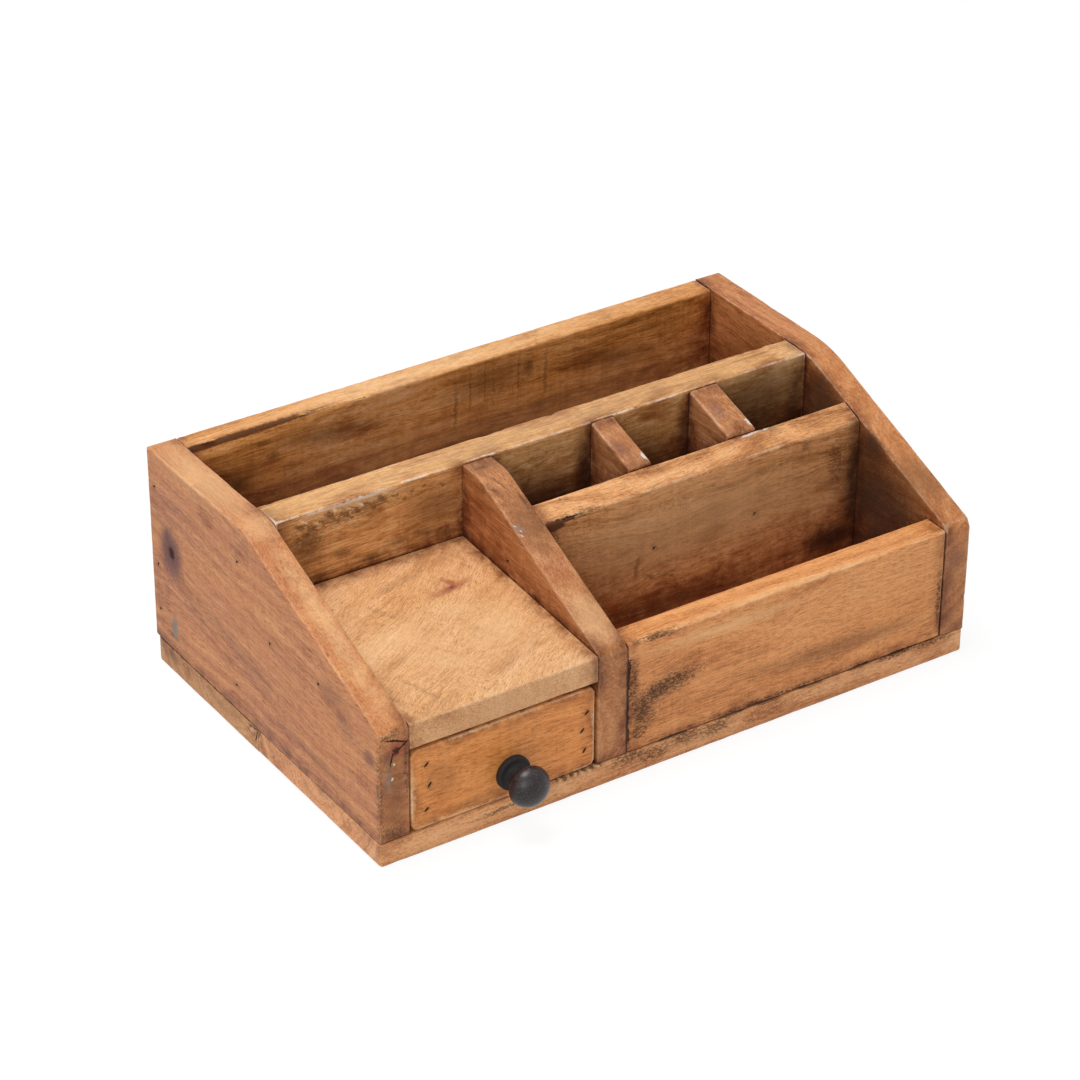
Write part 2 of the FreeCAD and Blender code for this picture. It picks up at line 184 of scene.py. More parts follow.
# Each kind of mark on a board: its colour, how soft its edge is, how ragged it is in mm, how deep it is
# pressed in, how much it breaks up into specks, and how densely it covers its middle. A board's marks are
# lists of a kind, a strength, and places: a middle and three half sizes in mm, and a tilt in degrees if
# it has one
MARKS = {
    "knot": ("#2E1611", 0.8, 1.3, 0.2, 0.6, 1.0),
    "halo": ("#6B3A34", 1.0, 1.8, 0.0, 0.25, 1.2),
    "stain": ("#3E2412", 1.0, 3.0, 0.1, 0.4, 0.9),
    "burn": ("#3A2110", 0.6, 3.0, 0.1, 0.95, 0.6),
    "shade": ("#6B4120", 1.0, 4.0, 0.0, 0.2, 0.9),
    # The next kind is painted shade, deep in a compartment and in its corners
    "dusk": ("#33190A", 1.0, 3.0, 0.0, 0.15, 0.9),
    "ruddy": ("#97432A", 1.0, 2.0, 0.0, 0.2, 0.9),
    "plum": ("#573234", 0.9, 2.0, 0.0, 0.3, 0.9),
    "grey": ("#857A72", 0.9, 1.2, 0.0, 0.6, 0.8),
    "filler": ("#857C70", 0.55, 2.2, -0.1, 0.6, 1.0),
    "crack": ("#22140C", 0.5, 1.5, 1.0, 0.55, 1.0),
    "chips": ("#5A3820", 0.6, 2.4, 1.0, 0.6, 1.0),
    "sawn": ("#F6C08C", 0.7, 3.0, -0.3, 0.95, 0.6),
    "pale": ("#E8DDD0", 0.5, 1.2, -0.1, 0.4, 1.0),
    # The next kind is paler wood, and also painted light on lit tops and painted highlights beside chips
    "bleached": ("#F3C994", 1.0, 4.0, 0.0, 0.35, 0.9),
    "bark": ("#5A321C", 0.45, 0.6, 0.2, 0.2, 1.0),
}
# Kinds of mark with no wax left on them; the painted depth shade is kept dull with them
DULL_MARKS = ("knot", "stain", "burn", "dusk", "crack", "chips", "bark")


def wood(name, tones, turn=(0, 0, 0), pith=(0, 18, -40), ring=3.6, wave=7.0, figure=0.2, flecks=0.7,
         marks=(), worn=0.6, mottle=0.5, joint_dirt_and_shade=1.0, gloss=0.5, rub=None, grit=0.3):
    """Waxed reclaimed hardwood. tones are dark, middle and light. turn brings the grain to X, pith moves
    the log's heart in mm, ring is the ring width in mm, and wave how far the grain wanders in mm. figure,
    flecks, mottle and grit are how much the rings, the flecks, the clouds and the cut fibre ends show.
    worn is how far the wax is rubbed off the arrises, to the tone rub, and joint_dirt_and_shade how dirty a
    joint is and how much painted shade darkens the wood within a few mm of another board."""
    colours = bpy.context.scene.organizer_colours
    material, tree = new_material(name)
    place = add(tree, "TexCoord", out="Object")
    # Millimetres, with the grain along X and the heart of the log on the X axis
    grain = add(tree, "Mapping", {"Vector": place, "Location": pith, "Rotation": turn,
                                  "Scale": (1000, 1000, 1000)})

    def noise(vector, scale, detail=2.0, rough=0.5, out=0):
        """Noise over the grain, with its scale per mm along, across and through the board."""
        stretched = add(tree, "VectorMath", {0: vector, 1: scale}, operation="MULTIPLY")
        return add(tree, "TexNoise", {"Vector": stretched, "Scale": 1.0, "Detail": detail,
                                      "Roughness": rough}, out=out)

    def wander(vector, scale, detail=2.0, rough=0.5):
        """A shift of up to half each way, from the colour of the same noise."""
        made = noise(vector, scale, detail, rough, out=1)
        return add(tree, "VectorMath", {0: made, 1: (0.5, 0.5, 0.5)}, operation="SUBTRACT")

    def sum_up(start, pairs):
        """A start and each value times its weight."""
        for value, weight in pairs:
            start = add(tree, "Math", {0: value, 1: weight, 2: start}, operation="MULTIPLY_ADD")
        return start

    # The grain wanders slowly along the board and curls a little across it
    bent = grain
    for shift, share in ((wander(grain, (0.009, 0.026, 0.026)), 2.6),
                         (wander(grain, (0.045, 0.13, 0.13)), 0.25)):
        bent = add(tree, "VectorMath", {0: shift, 1: (0, wave * share, wave * share), 2: bent},
                   operation="MULTIPLY_ADD")
    across = add(tree, "VectorMath", {0: bent, 1: (0, 1, 1)}, operation="MULTIPLY")
    radius = add(tree, "VectorMath", {0: across}, out="Value", operation="LENGTH")

    # Each kind of mark has its own distance field, made ragged by one fine noise
    ragged = wander(place, (420, 420, 420), 5.0, 0.7)
    specks = noise(grain, (0.9, 1.7, 1.7), 3.0, 0.6)
    masks = []
    for kind, strength, *spaces in marks:
        softness, raggedness, _, speckle, density = MARKS[kind][1:]
        shaken = add(tree, "VectorMath", {0: ragged, 1: (raggedness * MM * 1.6,) * 3, 2: place},
                     operation="MULTIPLY_ADD")
        nearest = None
        for space in spaces:
            near = add(tree, "Mapping",
                       {"Vector": shaken, "Location": [value * MM for value in space[:3]],
                        "Scale": [value * MM for value in space[3:6]],
                        "Rotation": [math.radians(value) for value in space[6:] or (0, 0, 0)]},
                       vector_type="TEXTURE")
            away = add(tree, "VectorMath", {0: near}, out="Value", operation="LENGTH")
            if nearest is not None:
                away = add(tree, "Math", {0: nearest, 1: away}, operation="MINIMUM")
            nearest = away
        # Half covered at its size, or a little inside it where the edge is soft
        reach = 1.25 if softness > 0.6 else 1.5
        inside = add(tree, "Math", {0: reach, 1: nearest}, operation="SUBTRACT")
        inside = add(tree, "Math", {0: inside, 1: density}, operation="MULTIPLY")
        inside = add(tree, "Math", {0: inside, 1: density}, operation="MINIMUM")
        cover = sum_up(inside, ((specks, 2.2 * speckle),))
        middle = 0.5 + 1.1 * speckle
        mask = add(tree, "MapRange", {0: cover, 1: middle - softness / 2, 2: middle + softness / 2,
                                      4: strength}, **EASED)
        masks.append((kind, mask))
        if kind == "knot":
            # The rings swell round a knot
            swell = add(tree, "MapRange", {0: nearest, 1: 4.0, 2: 0.3, 4: 7.0}, **EASED)
            radius = sum_up(radius, ((swell, 1.0),))

    # Rings: uneven in width and darkness, because they read one noise along the radius
    rings = add(tree, "Math", {0: radius, 1: 1.0 / ring}, operation="MULTIPLY")
    rings = add(tree, "TexNoise", {"W": rings, "Scale": 1.0, "Detail": 2.5, "Roughness": 0.6},
                noise_dimensions="1D")
    rings = add(tree, "MapRange", {0: rings, 1: 0.3, 2: 0.72}, **EASED)
    # Fibres about 0.5 mm wide and 30 mm long, flecks of 1.2 by 8 mm and pores of 0.3 by 4 mm, drawn a
    # little coarser than real ones so that they show
    fibre = noise(bent, (0.04, 1.9, 1.9), 4.0, 0.68)
    fleck = noise(bent, (0.14, 0.9, 0.9), 4.0, 0.68)
    pores = add(tree, "MapRange", {0: noise(bent, (0.28, 3.3, 3.3), 2.0, 0.6), 1: 0.54, 2: 0.66}, **EASED)
    cloud = noise(grain, (0.013, 0.033, 0.033), 3.0, 0.55)
    # Saw and planer marks lie across the grain, and cut fibre ends speckle it at 0.4 mm
    chatter = noise(grain, (0.55, 0.03, 0.03), 3.0, 0.6)
    ends = noise(grain, (1.3, 2.6, 2.6), 2.0, 0.7)
    tone = sum_up(-0.035 - 0.5 * (mottle + figure + flecks + grit),
                  ((rings, figure), (fibre, 0.85), (fleck, flecks), (cloud, mottle), (chatter, 0.22),
                   (ends, grit)))
    shades = add(tree, "ValToRGB", {0: tone}, out=None)
    stops = shades.color_ramp.elements
    stops.new(0.5)
    for stop, position, code in zip(stops, (0.16, 0.5, 0.86), tones):
        stop.position = position
        stop.color = opaque(code)

    # Old dirt and wax darken it in soft, ragged clouds
    deep = add(tree, "MapRange", {0: noise(bent, (0.03, 0.075, 0.075), 5.0, 0.68), 1: 0.5, 2: 0.7,
                                  4: mottle}, **EASED)
    # Measured on the mesh: mm to the next board and to the nearest arris, how far down a nail's hole,
    # and how closed in by the boards around
    joint, arris, pit, hollow = (add(tree, "Attribute", out="Fac", attribute_name=measured)
                                 for measured in ("joint", "arris", "pit", "hollow"))
    patchy = add(tree, "MapRange", {0: noise(place, (140, 140, 140), 4.0, 0.65), 1: 0.34, 2: 0.66}, **EASED)
    # Painted shade: deep in a compartment, where the boards close in, it is darkened to a dull brown
    painted_hollow_shade = sum_up(hollow, ((patchy, 0.16),))
    painted_hollow_shade = add(tree, "MapRange", {0: painted_hollow_shade, 1: 0.6, 2: 1.1, 4: 0.92}, **EASED)
    # Dirt and painted shade darken it within a few mm of another board, and dirt blackens the joint itself
    corner_dirt_and_shade = add(tree, "MapRange", {0: joint, 1: 8.0, 2: 0.0, 4: 0.7 * joint_dirt_and_shade}, **EASED)
    corner_dirt_and_shade = add(tree, "Math", {0: corner_dirt_and_shade, 1: sum_up(0.25, ((patchy, 1.0),))}, operation="MULTIPLY")
    colour = shades.outputs[0]
    for share, over in ((sum_up(0.0, ((pores, 0.5),)), "#8A6A4A"), (deep, "#BE9D78"), (painted_hollow_shade, "#A46E3A"),
                        (corner_dirt_and_shade, "#96714F")):
        colour = add(tree, "Mix", {0: share, 6: colour, 7: opaque(over)}, out=2, data_type="RGBA",
                     blend_type="MULTIPLY")

    broken = add(tree, "MapRange", {0: noise(place, (230, 230, 230), 3.0, 0.65), 1: 0.38, 2: 0.6, 3: 0.25},
                 **EASED)
    seam = add(tree, "MapRange", {0: joint, 1: 0.45, 2: 0.08}, **EASED)
    seam = add(tree, "Math", {0: seam, 1: broken}, operation="MULTIPLY")
    # The wax is rubbed off an arris in patches, and not where another board touches it
    rubbed = add(tree, "MapRange", {0: arris, 1: 1.2, 2: 0.15}, **EASED)
    for value in (add(tree, "MapRange", {0: noise(place, (85, 85, 85), 5.0, 0.75), 1: 0.42, 2: 0.64, 3: 0.04,
                                         4: worn}, **EASED),
                  add(tree, "MapRange", {0: joint, 1: 0.4, 2: 0.9}, **EASED)):
        rubbed = add(tree, "Math", {0: rubbed, 1: value}, operation="MULTIPLY")
    dirty = sum_up(0.0, ((seam, min(1.0, 0.9 * joint_dirt_and_shade)),))
    for share, over in ((rubbed, rub or colours.worn), *((mask, MARKS[kind][0]) for kind, mask in masks),
                        (dirty, colours.dirt), (pit, "#1C120D")):
        colour = add(tree, "Mix", {0: share, 6: colour, 7: opaque(over)}, out=2, data_type="RGBA")

    height = sum_up(0.0, ((fibre, 0.5), (pores, -0.35), (rings, figure),
                          *((mask, -2.0 * MARKS[kind][3]) for kind, mask in masks if MARKS[kind][3])))
    normal = add(tree, "Bump", {"Strength": 0.5, "Distance": 0.00016, "Height": height})
    # Dry dirt, charred spots and the depths of a compartment have no wax to shine
    dead = sum_up(0.0, ((hollow, 0.9),))
    for value in (seam, pit, *(mask for kind, mask in masks if kind in DULL_MARKS)):
        dead = add(tree, "Math", {0: dead, 1: value}, operation="MAXIMUM")
    dead = add(tree, "MapRange", {0: dead, 1: 0.2, 2: 0.9}, **EASED)
    rough = add(tree, "MapRange", {0: sum_up(cloud, ((pores, 0.3),)), 1: 0.3, 2: 0.8, 3: gloss - 0.07,
                                   4: gloss + 0.1}, **EASED)
    rough = add(tree, "Math", {0: rough, 1: dead}, operation="MAXIMUM")
    surface = add(tree, "BsdfPrincipled", {"Base Color": colour, "Roughness": rough, "Normal": normal,
                                           "IOR": 1.48, "Specular IOR Level": 0.3})
    add(tree, "OutputMaterial", {0: surface}, out=None)
    return material


def knob_finish(centre, back):
    """Satin black lacquer: charcoal where light falls, faintly blotched, with a pale band round the rosette
    that is partly wear and partly a painted highlight, and painted shade on the neck and the rosette.
    centre is the knob's middle and back is where its rosette meets the drawer."""
    colours = bpy.context.scene.organizer_colours
    material, tree = new_material("satin_black_lacquered_knob")
    place = add(tree, "TexCoord", out="Object")
    # Blotches of 2.4 mm, pale dust of 0.7 mm and an orange-peel surface of 0.4 mm
    blotch = add(tree, "TexNoise", {"Vector": place, "Scale": 420.0, "Detail": 4.0, "Roughness": 0.6})
    dust = add(tree, "TexNoise", {"Vector": place, "Scale": 1500.0, "Detail": 2.0})
    peel = add(tree, "TexNoise", {"Vector": place, "Scale": 2600.0, "Detail": 2.0})
    share = add(tree, "MapRange", {0: blotch, 1: 0.3, 2: 0.7})
    colour = add(tree, "Mix", {0: share, 6: opaque([part * 0.72 for part in colours.knob]),
                               7: opaque([part * 1.3 for part in colours.knob])}, out=2, data_type="RGBA")
    # The rosette's rim is 7.1 mm from the axis, and the pale band round it is partly wear and partly a
    # painted highlight on its rounded edge
    axial = add(tree, "Mapping", {"Vector": place, "Location": centre, "Scale": (MM, MM, MM)},
                vector_type="TEXTURE")
    flat = add(tree, "VectorMath", {0: axial, 1: (1, 0, 1)}, operation="MULTIPLY")
    radius = add(tree, "VectorMath", {0: flat}, out="Value", operation="LENGTH")
    deep = add(tree, "SeparateXYZ", {0: place}, out=1)
    rubbed = add(tree, "MapRange", {0: radius, 1: 6.3, 2: 6.9, 4: 0.2}, **EASED)
    for value in (add(tree, "Math", {0: deep, 1: back - 2.6 * MM}, operation="GREATER_THAN"), blotch):
        rubbed = add(tree, "Math", {0: rubbed, 1: value}, operation="MULTIPLY")
    dusty = add(tree, "MapRange", {0: dust, 1: 0.56, 2: 0.68, 4: 0.35}, **EASED)
    # Painted shade: the neck and the rosette, under the head, are blackened and dulled
    neck = add(tree, "MapRange", {0: deep, 1: back - 9.6 * MM, 2: back - 8.0 * MM, 4: 0.75}, **EASED)
    for value, over in ((dusty, "#6A6267"), (rubbed, "#8E8580"), (neck, "#0F0A0A")):
        colour = add(tree, "Mix", {0: value, 6: colour, 7: opaque(over)}, out=2, data_type="RGBA")
    rough = add(tree, "MapRange", {0: blotch, 1: 0.3, 2: 0.7, 3: 0.3, 4: 0.44})
    rough = add(tree, "Math", {0: rough, 1: neck}, operation="MAXIMUM")
    normal = add(tree, "Bump", {"Strength": 0.3, "Distance": 0.00008, "Height": peel})
    surface = add(tree, "BsdfPrincipled", {"Base Color": colour, "Roughness": rough, "Normal": normal,
                                           "IOR": 1.5, "Specular IOR Level": 0.42})
    add(tree, "OutputMaterial", {0: surface}, out=None)
    return material


def steel(name, light, dark, low, high):
    """Steel blotched between two tones, with a roughness from low to high."""
    material, tree = new_material(name)
    place = add(tree, "TexCoord", out="Object")
    blotch = add(tree, "TexNoise", {"Vector": place, "Scale": 900.0, "Detail": 4.0})
    colour = add(tree, "Mix", {0: blotch, 6: opaque(light), 7: opaque(dark)}, out=2, data_type="RGBA")
    rough = add(tree, "MapRange", {0: blotch, 1: 0.3, 2: 0.7, 3: low, 4: high})
    surface = add(tree, "BsdfPrincipled", {"Base Color": colour, "Roughness": rough, "Metallic": 0.85})
    add(tree, "OutputMaterial", {0: surface}, out=None)
    return material


# Boards

# An edge sharper than this is an arris, and a softer one is shaded smooth
ARRIS_ANGLE = math.radians(32)
SMOOTH_ANGLE = math.radians(48)
# Boards this close touch, and vertices this close are in one row
TOUCHING = 0.4 * MM
ROW = 0.2 * MM
# One subdivide makes at most 100 cuts
MOST_CUTS = 90
# A brad's hole is this deep, and the dirt in it reaches this far from the head
HOLE_DEPTH = 2.4 * MM
HOLE_REACH = 1.7 * MM
# The part of a board inside this skin is measured for how closed in it is, by boards up to SPAN away
SKIN = 1.5 * MM
SPAN = 110 * MM
# A ray for it starts this far off the face, and the dome's directions turn by the golden angle
OFF_FACE = 0.8 * MM
GOLDEN_ANGLE = 2.39996
# A brad's head is its last 0.3 mm
HEAD = 0.3 * MM
# Width of the worn band along an arris, and how far off another board is looked for, in mm
WORN_BAND = 2.2
FAR = 30.0
# The search tree and the directions over a dome, by body
SHELTER = {}


def clear_selection():
    """Leaves object mode with nothing selected."""
    if bpy.context.mode != "OBJECT":
        bpy.ops.object.mode_set(mode="OBJECT")
    bpy.ops.object.select_all(action="DESELECT")


def make_active(piece):
    """Selects only this piece."""
    clear_selection()
    piece.select_set(True)
    bpy.context.view_layer.objects.active = piece


def choose(kind, test):
    """Selects the edges, faces or verts of the mesh being edited that pass the test."""
    mesh = bpy.context.edit_object.data
    shape = bmesh.from_edit_mesh(mesh)
    for group in (shape.verts, shape.edges, shape.faces):
        for part in group:
            part.select = False
    for part in getattr(shape, kind):
        if test(part):
            part.select_set(True)
    bmesh.update_edit_mesh(mesh)


def lies_along(edge, axis):
    """True if the edge runs along that axis."""
    run = edge.verts[1].co - edge.verts[0].co
    return run.length > 1e-9 and abs(run.normalized()[axis]) > 0.999


def cut_along(axis, extent, pitch):
    """Subdivides every edge along an axis into steps of about the pitch."""
    bpy.context.tool_settings.mesh_select_mode = (False, True, False)
    parts = max(2, round(extent / pitch))
    if parts > MOST_CUTS:
        parts += parts % 2
        choose("edges", lambda edge: lies_along(edge, axis))
        bpy.ops.mesh.subdivide(number_cuts=1)
        parts //= 2
    choose("edges", lambda edge: lies_along(edge, axis))
    bpy.ops.mesh.subdivide(number_cuts=parts - 1)


def shape_rows(low, high, under, top, axis=1):
    """Brings each row of vertices across the axis between its underside and its top there."""
    bpy.context.tool_settings.mesh_select_mode = (True, False, False)
    shape = bmesh.from_edit_mesh(bpy.context.edit_object.data)
    rows = []
    for depth in sorted(vert.co[axis] for vert in shape.verts):
        if not rows or depth - rows[-1] > ROW:
            rows.append(depth)
    for row in rows:
        foot, head = under(row), top(row)
        if abs(foot - low.z) < 1e-7 and abs(head - high.z) < 1e-7:
            continue
        choose("verts", lambda vert: abs(vert.co[axis] - row) < ROW)
        bpy.ops.transform.resize(value=(1, 1, (head - foot) / (high.z - low.z)),
                                 center_override=(0, 0, low.z))
        bpy.ops.transform.translate(value=(0, 0, foot - low.z))


def slope(kink, level, front, front_height, bend, nose):
    """The height of a level top that turns down at the kink, round the radius bend, and ends at the
    front in a corner of the radius nose."""
    angle = math.atan2(level - front_height, kink - front)
    tangent = bend * math.tan(angle / 2)
    centre = front + nose

    def height(y):
        if y >= kink + tangent:
            return level
        if y > kink - tangent * math.cos(angle):
            return level - bend + math.sqrt(bend**2 - (y - kink - tangent) ** 2)
        line = front_height + (y - front) * math.tan(angle)
        if y >= centre - nose * math.sin(angle):
            return line
        hub = front_height + nose * math.tan(angle) - nose / math.cos(angle)
        return hub + math.sqrt(max(0.0, nose**2 - (y - centre) ** 2))

    return height


def cad_boards(accept):
    """One search tree over the CAD boards that a test of name and body accepts."""
    points, faces = [], []
    for name, other in frame["nodes"].items():
        if "brad" in name or "knob" in name or not accept(name, other["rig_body"]):
            continue
        first = len(points)
        points += [vert.co.copy() for vert in other.data.vertices]
        faces += [[first + i for i in face.vertices] for face in other.data.polygons]
    return BVHTree.FromPolygons(points, faces)


def shelter(own):
    """How the boards of a body close in on a point: a tree of them, and 12 directions over a dome."""
    if own not in SHELTER:
        directions = []
        for number in range(12):
            rise = math.sqrt(1 - (number + 0.5) / 12)
            turn = number * GOLDEN_ANGLE
            out = math.sqrt(1 - rise**2)
            directions.append(Vector((out * math.cos(turn), out * math.sin(turn), rise)))
        SHELTER[own] = (cad_boards(lambda name, body: body == own), directions)
    return SHELTER[own]


def brad_heads(node, board_node, axis, outward):
    """The middle of each brad's head in this board, on the side that it is driven from."""
    low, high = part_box(board_node)
    shape = bmesh.new()
    shape.from_mesh(frame["nodes"][node].data)
    bmesh.ops.remove_doubles(shape, verts=shape.verts, dist=1e-6)
    seen, heads = set(), []
    for first in shape.verts:
        if first in seen:
            continue
        seen.add(first)
        reached = [first]
        for vert in reached:
            for edge in vert.link_edges:
                other = edge.other_vert(vert)
                if other not in seen:
                    seen.add(other)
                    reached.append(other)
        tip = max(vert.co[axis] * outward for vert in reached)
        head = [vert.co for vert in reached if vert.co[axis] * outward > tip - HEAD]
        middle = sum(head, Vector()) / len(head)
        if all(low[i] - MM < middle[i] < high[i] + MM for i in range(3)):
            heads.append(middle)
    shape.free()
    return heads


def apply_modifier(piece, kind, **settings):
    """Adds a modifier with its settings and applies it."""
    make_active(piece)
    bpy.ops.object.modifier_add(type=kind)
    added = piece.modifiers[-1]
    for name, value in settings.items():
        setattr(added, name, value)
    bpy.ops.object.modifier_apply(modifier=added.name)


def nail_holes(piece, heads, axis, outward, tilt, size):
    """Cuts a slit down to each brad's head, of that half length and half width in mm."""
    clear_selection()
    facing = Vector((0, 0, 0))
    facing[axis] = outward
    turned = facing.to_track_quat("Z", "Y").to_matrix().to_4x4()
    for number, head in enumerate(heads):
        # Up to 11 degrees off, because the brads are driven by hand
        lean = tilt + (number * 37 % 23) - 11
        bpy.ops.mesh.primitive_cylinder_add(vertices=9, radius=1 * MM, depth=HOLE_DEPTH)
        cutter = bpy.context.object
        cutter.matrix_world = (Matrix.Translation(head + facing * HOLE_DEPTH / 2) @ turned
                               @ Matrix.Rotation(math.radians(lean), 4, "Z")
                               @ Matrix.Diagonal((*size, 1, 1)))
        cutter["hole"] = True
    clear_selection()
    cutters = [other for other in bpy.context.scene.objects if other.get("hole")]
    for cutter in cutters:
        cutter.select_set(True)
    bpy.context.view_layer.objects.active = cutters[0]
    bpy.ops.object.join()
    cutter = bpy.context.object
    apply_modifier(piece, "BOOLEAN", operation="DIFFERENCE", object=cutter, solver="EXACT")
    bpy.data.objects.remove(cutter)


def relief(name, size, depth=1, contrast=1.0, brightness=1.0):
    """A texture for displacement, with its grain size in metres. With much contrast and little
    brightness it is nothing but for a few spots."""
    texture = bpy.data.textures.get(name)
    if texture is None:
        texture = bpy.data.textures.new(name, "CLOUDS")
        texture.noise_scale = size
        texture.noise_depth = depth
        texture.contrast = contrast
        texture.intensity = brightness
        texture.use_clamp = True
    return texture


def finish_board(piece, node, arris, wear, cut, heads, outward, tilt, hole):
    """Rounds the arrises, cuts the nail holes, measures where wear, dirt and painted shade go, and makes the
    faces uneven.
    """
    sizes = bpy.context.scene.organizer_sizes
    own = frame["nodes"][node]["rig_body"]
    around = cad_boards(lambda name, body: name != node and body == own)
    # Only the drawer's face shows the dirt and painted shade of the opening that it fills
    beside = cad_boards(lambda name, body: name != node and (body == own or node == "drawer_front"))
    mesh = piece.data
    shape = bmesh.new()
    shape.from_mesh(mesh)
    weights = [0.0] * len(shape.edges)
    sharp = []
    for edge in shape.edges:
        if len(edge.link_faces) == 2 and edge.calc_face_angle() > ARRIS_ANGLE:
            a, b = edge.verts[0].co, edge.verts[1].co
            middle = (a + b) / 2
            near = around.find_nearest(middle, TOUCHING)[0]
            weights[edge.index] = (arris if near is None else sizes.tight_arris) / arris
            sharp += [a.lerp(b, share / 4) for share in range(4)]
    shape.free()
    layer = mesh.attributes.new("bevel_weight_edge", "FLOAT", "EDGE")
    layer.data.foreach_set("value", weights)
    apply_modifier(piece, "BEVEL", limit_method="WEIGHT", width=arris, segments=3,
                   use_clamp_overlap=not cut)
    if heads:
        nail_holes(piece, heads, *outward, tilt, hole)

    mesh = piece.data
    lines = KDTree(len(sharp))
    for number, point in enumerate(sharp):
        lines.insert(point, number)
    lines.balance()
    low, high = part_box(node)
    worn, joints, pits, strengths, hollows = [], [], [], [], []
    all_boards, dome = shelter(own)
    low_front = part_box("base_front_plank")[0].y
    inside = [Vector((CAD_LOW[0], low_front, CAD_LOW[2])), Vector(CAD_HIGH)]
    for vert in mesh.vertices:
        met = 0
        if all(inside[0][i] + SKIN < vert.co[i] < inside[1][i] - SKIN for i in range(3)):
            frame_of = vert.normal.to_track_quat("Z", "Y").to_matrix()
            start = vert.co + vert.normal * OFF_FACE
            met = sum(all_boards.ray_cast(start, frame_of @ way, SPAN)[0] is not None for way in dome)
        hollows.append(met / len(dome))
        away = lines.find(vert.co)[2] / MM
        found = beside.find_nearest(vert.co, FAR * MM)
        worn.append(away)
        joints.append(FAR if found[0] is None else found[3] / MM)
        pit = 0.0
        for head in heads:
            if (vert.co - head).length < HOLE_REACH:
                axis, side = outward
                face = high[axis] if side > 0 else low[axis]
                # Dark from its mouth and black from 0.4 mm down
                sunk = abs(vert.co[axis] - face) / MM
                pit = max(pit, min(1.0, 0.25 + sunk / 0.5))
        pits.append(pit)
        # An arris against another board is hardly worn, and the rim of a hole isn't
        strengths.append(max(0.0, 1.0 - away / WORN_BAND) * (1.0 if joints[-1] > 0.6 else 0.15) * (1 - pit))
    for name, values in (("arris", worn), ("joint", joints), ("pit", pits), ("hollow", hollows)):
        layer = mesh.attributes.new(name, "FLOAT", "POINT")
        layer.data.foreach_set("value", values)
    group = piece.vertex_groups.new(name="arrises")
    steps = {}
    for number, strength in enumerate(strengths):
        steps.setdefault(round(strength * 20), []).append(number)
    for step, members in steps.items():
        group.add(members, step / 20, "REPLACE")
    apply_modifier(piece, "DISPLACE", texture=relief("hollows", 0.03), texture_coords="LOCAL",
                   mid_level=0.0, strength=-sizes.wobble)
    apply_modifier(piece, "DISPLACE", texture=relief("dents", 0.018), texture_coords="LOCAL",
                   mid_level=0.0, strength=-wear, vertex_group="arrises")
    apply_modifier(piece, "DISPLACE", texture=relief("nicks", 0.0045, 0, 3.0, 0.05),
                   texture_coords="LOCAL", mid_level=0.0, strength=-wear * 1.3, vertex_group="arrises")
    piece.vertex_groups.clear()
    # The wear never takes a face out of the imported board's own box
    for vert in piece.data.vertices:
        vert.co = [min(max(vert.co[i], low[i]), high[i]) for i in range(3)]
    make_active(piece)
    bpy.ops.object.shade_smooth_by_angle(angle=SMOOTH_ANGLE)


def board(name, node, material, body="case", top=None, under=None, arris=None, wear=None,
          cut=None, brads=None, outward=None, tilt=35, hole=(0.95, 0.5), pitch=None, corner=0.0):
    """One board in the place of its CAD node: a cube at its size, cut into a grid and shaped. top and
    under give its height from front to back, cut holds planes that take a corner off, and corner rounds
    the four corners of a board that faces the front. arris and wear are the radius of its edges and the
    depth of their dents. brads names the node with its nails, outward is the axis and the side that they
    are driven from, and tilt and hole turn and size the slits round their heads."""
    sizes = bpy.context.scene.organizer_sizes
    pitch = pitch or sizes.pitch
    low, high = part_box(node)
    clear_selection()
    bpy.ops.mesh.primitive_cube_add(size=1, location=(low + high) / 2, scale=high - low)
    bpy.ops.object.transform_apply(location=True, rotation=True, scale=True)
    piece = bpy.context.object
    piece.name = name
    piece.data.name = name
    bpy.ops.object.mode_set(mode="EDIT")
    cut_along(1, high.y - low.y, pitch)
    if top or under:
        shape_rows(low, high, under or (lambda y: low.z), top or (lambda y: high.z))
    cut_along(2, high.z - low.z, pitch)
    cut_along(0, high.x - low.x, pitch)
    if corner:
        def drop(x):
            in_corner = max(0.0, corner - min(x - low.x, high.x - x))
            return corner - math.sqrt(max(0.0, corner**2 - in_corner**2))

        shape_rows(low, high, lambda x: low.z + drop(x), lambda x: high.z - drop(x), 0)
    for point, normal in cut or ():
        bpy.ops.mesh.select_all(action="SELECT")
        bpy.ops.mesh.bisect(plane_co=point, plane_no=normal, use_fill=True, clear_outer=True)
    if cut:
        # A cut leaves slivers that would stop the arrises from being rounded
        bpy.ops.mesh.select_all(action="SELECT")
        bpy.ops.mesh.remove_doubles(threshold=0.0005)
        bpy.ops.mesh.normals_make_consistent(inside=False)
    bpy.ops.object.mode_set(mode="OBJECT")
    heads = brad_heads(brads, node, *outward) if brads else ()
    finish_board(piece, node, arris or sizes.arris, sizes.wear if wear is None else wear, cut, heads,
                 outward, tilt, hole)
    piece.data.materials.append(material)
    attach(piece, body)
    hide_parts(node)
    return piece


FRONT_TO_BACK = (0, 0, math.radians(90))
# The knob's depth in front of the drawer and its radius there, in mm, up to where the dome starts
KNOB_RINGS = ((0.0, 7.1), (1.45, 7.1), (1.85, 6.98), (2.15, 6.65), (2.3, 6.1), (2.34, 5.4), (2.5, 4.9),
              (2.9, 4.4), (3.5, 4.05), (4.4, 3.85), (5.6, 3.8), (6.8, 3.9), (7.8, 4.3), (8.5, 5.0),
              (9.0, 5.9), (9.35, 6.8), (9.65, 7.55), (10.0, 8.0), (10.5, 8.25), (11.2, 8.3))


def spots(points, size, tilt=()):
    """The places of a mark that repeats, with one size and tilt."""
    return [(*point, *size, *tilt) for point in points]


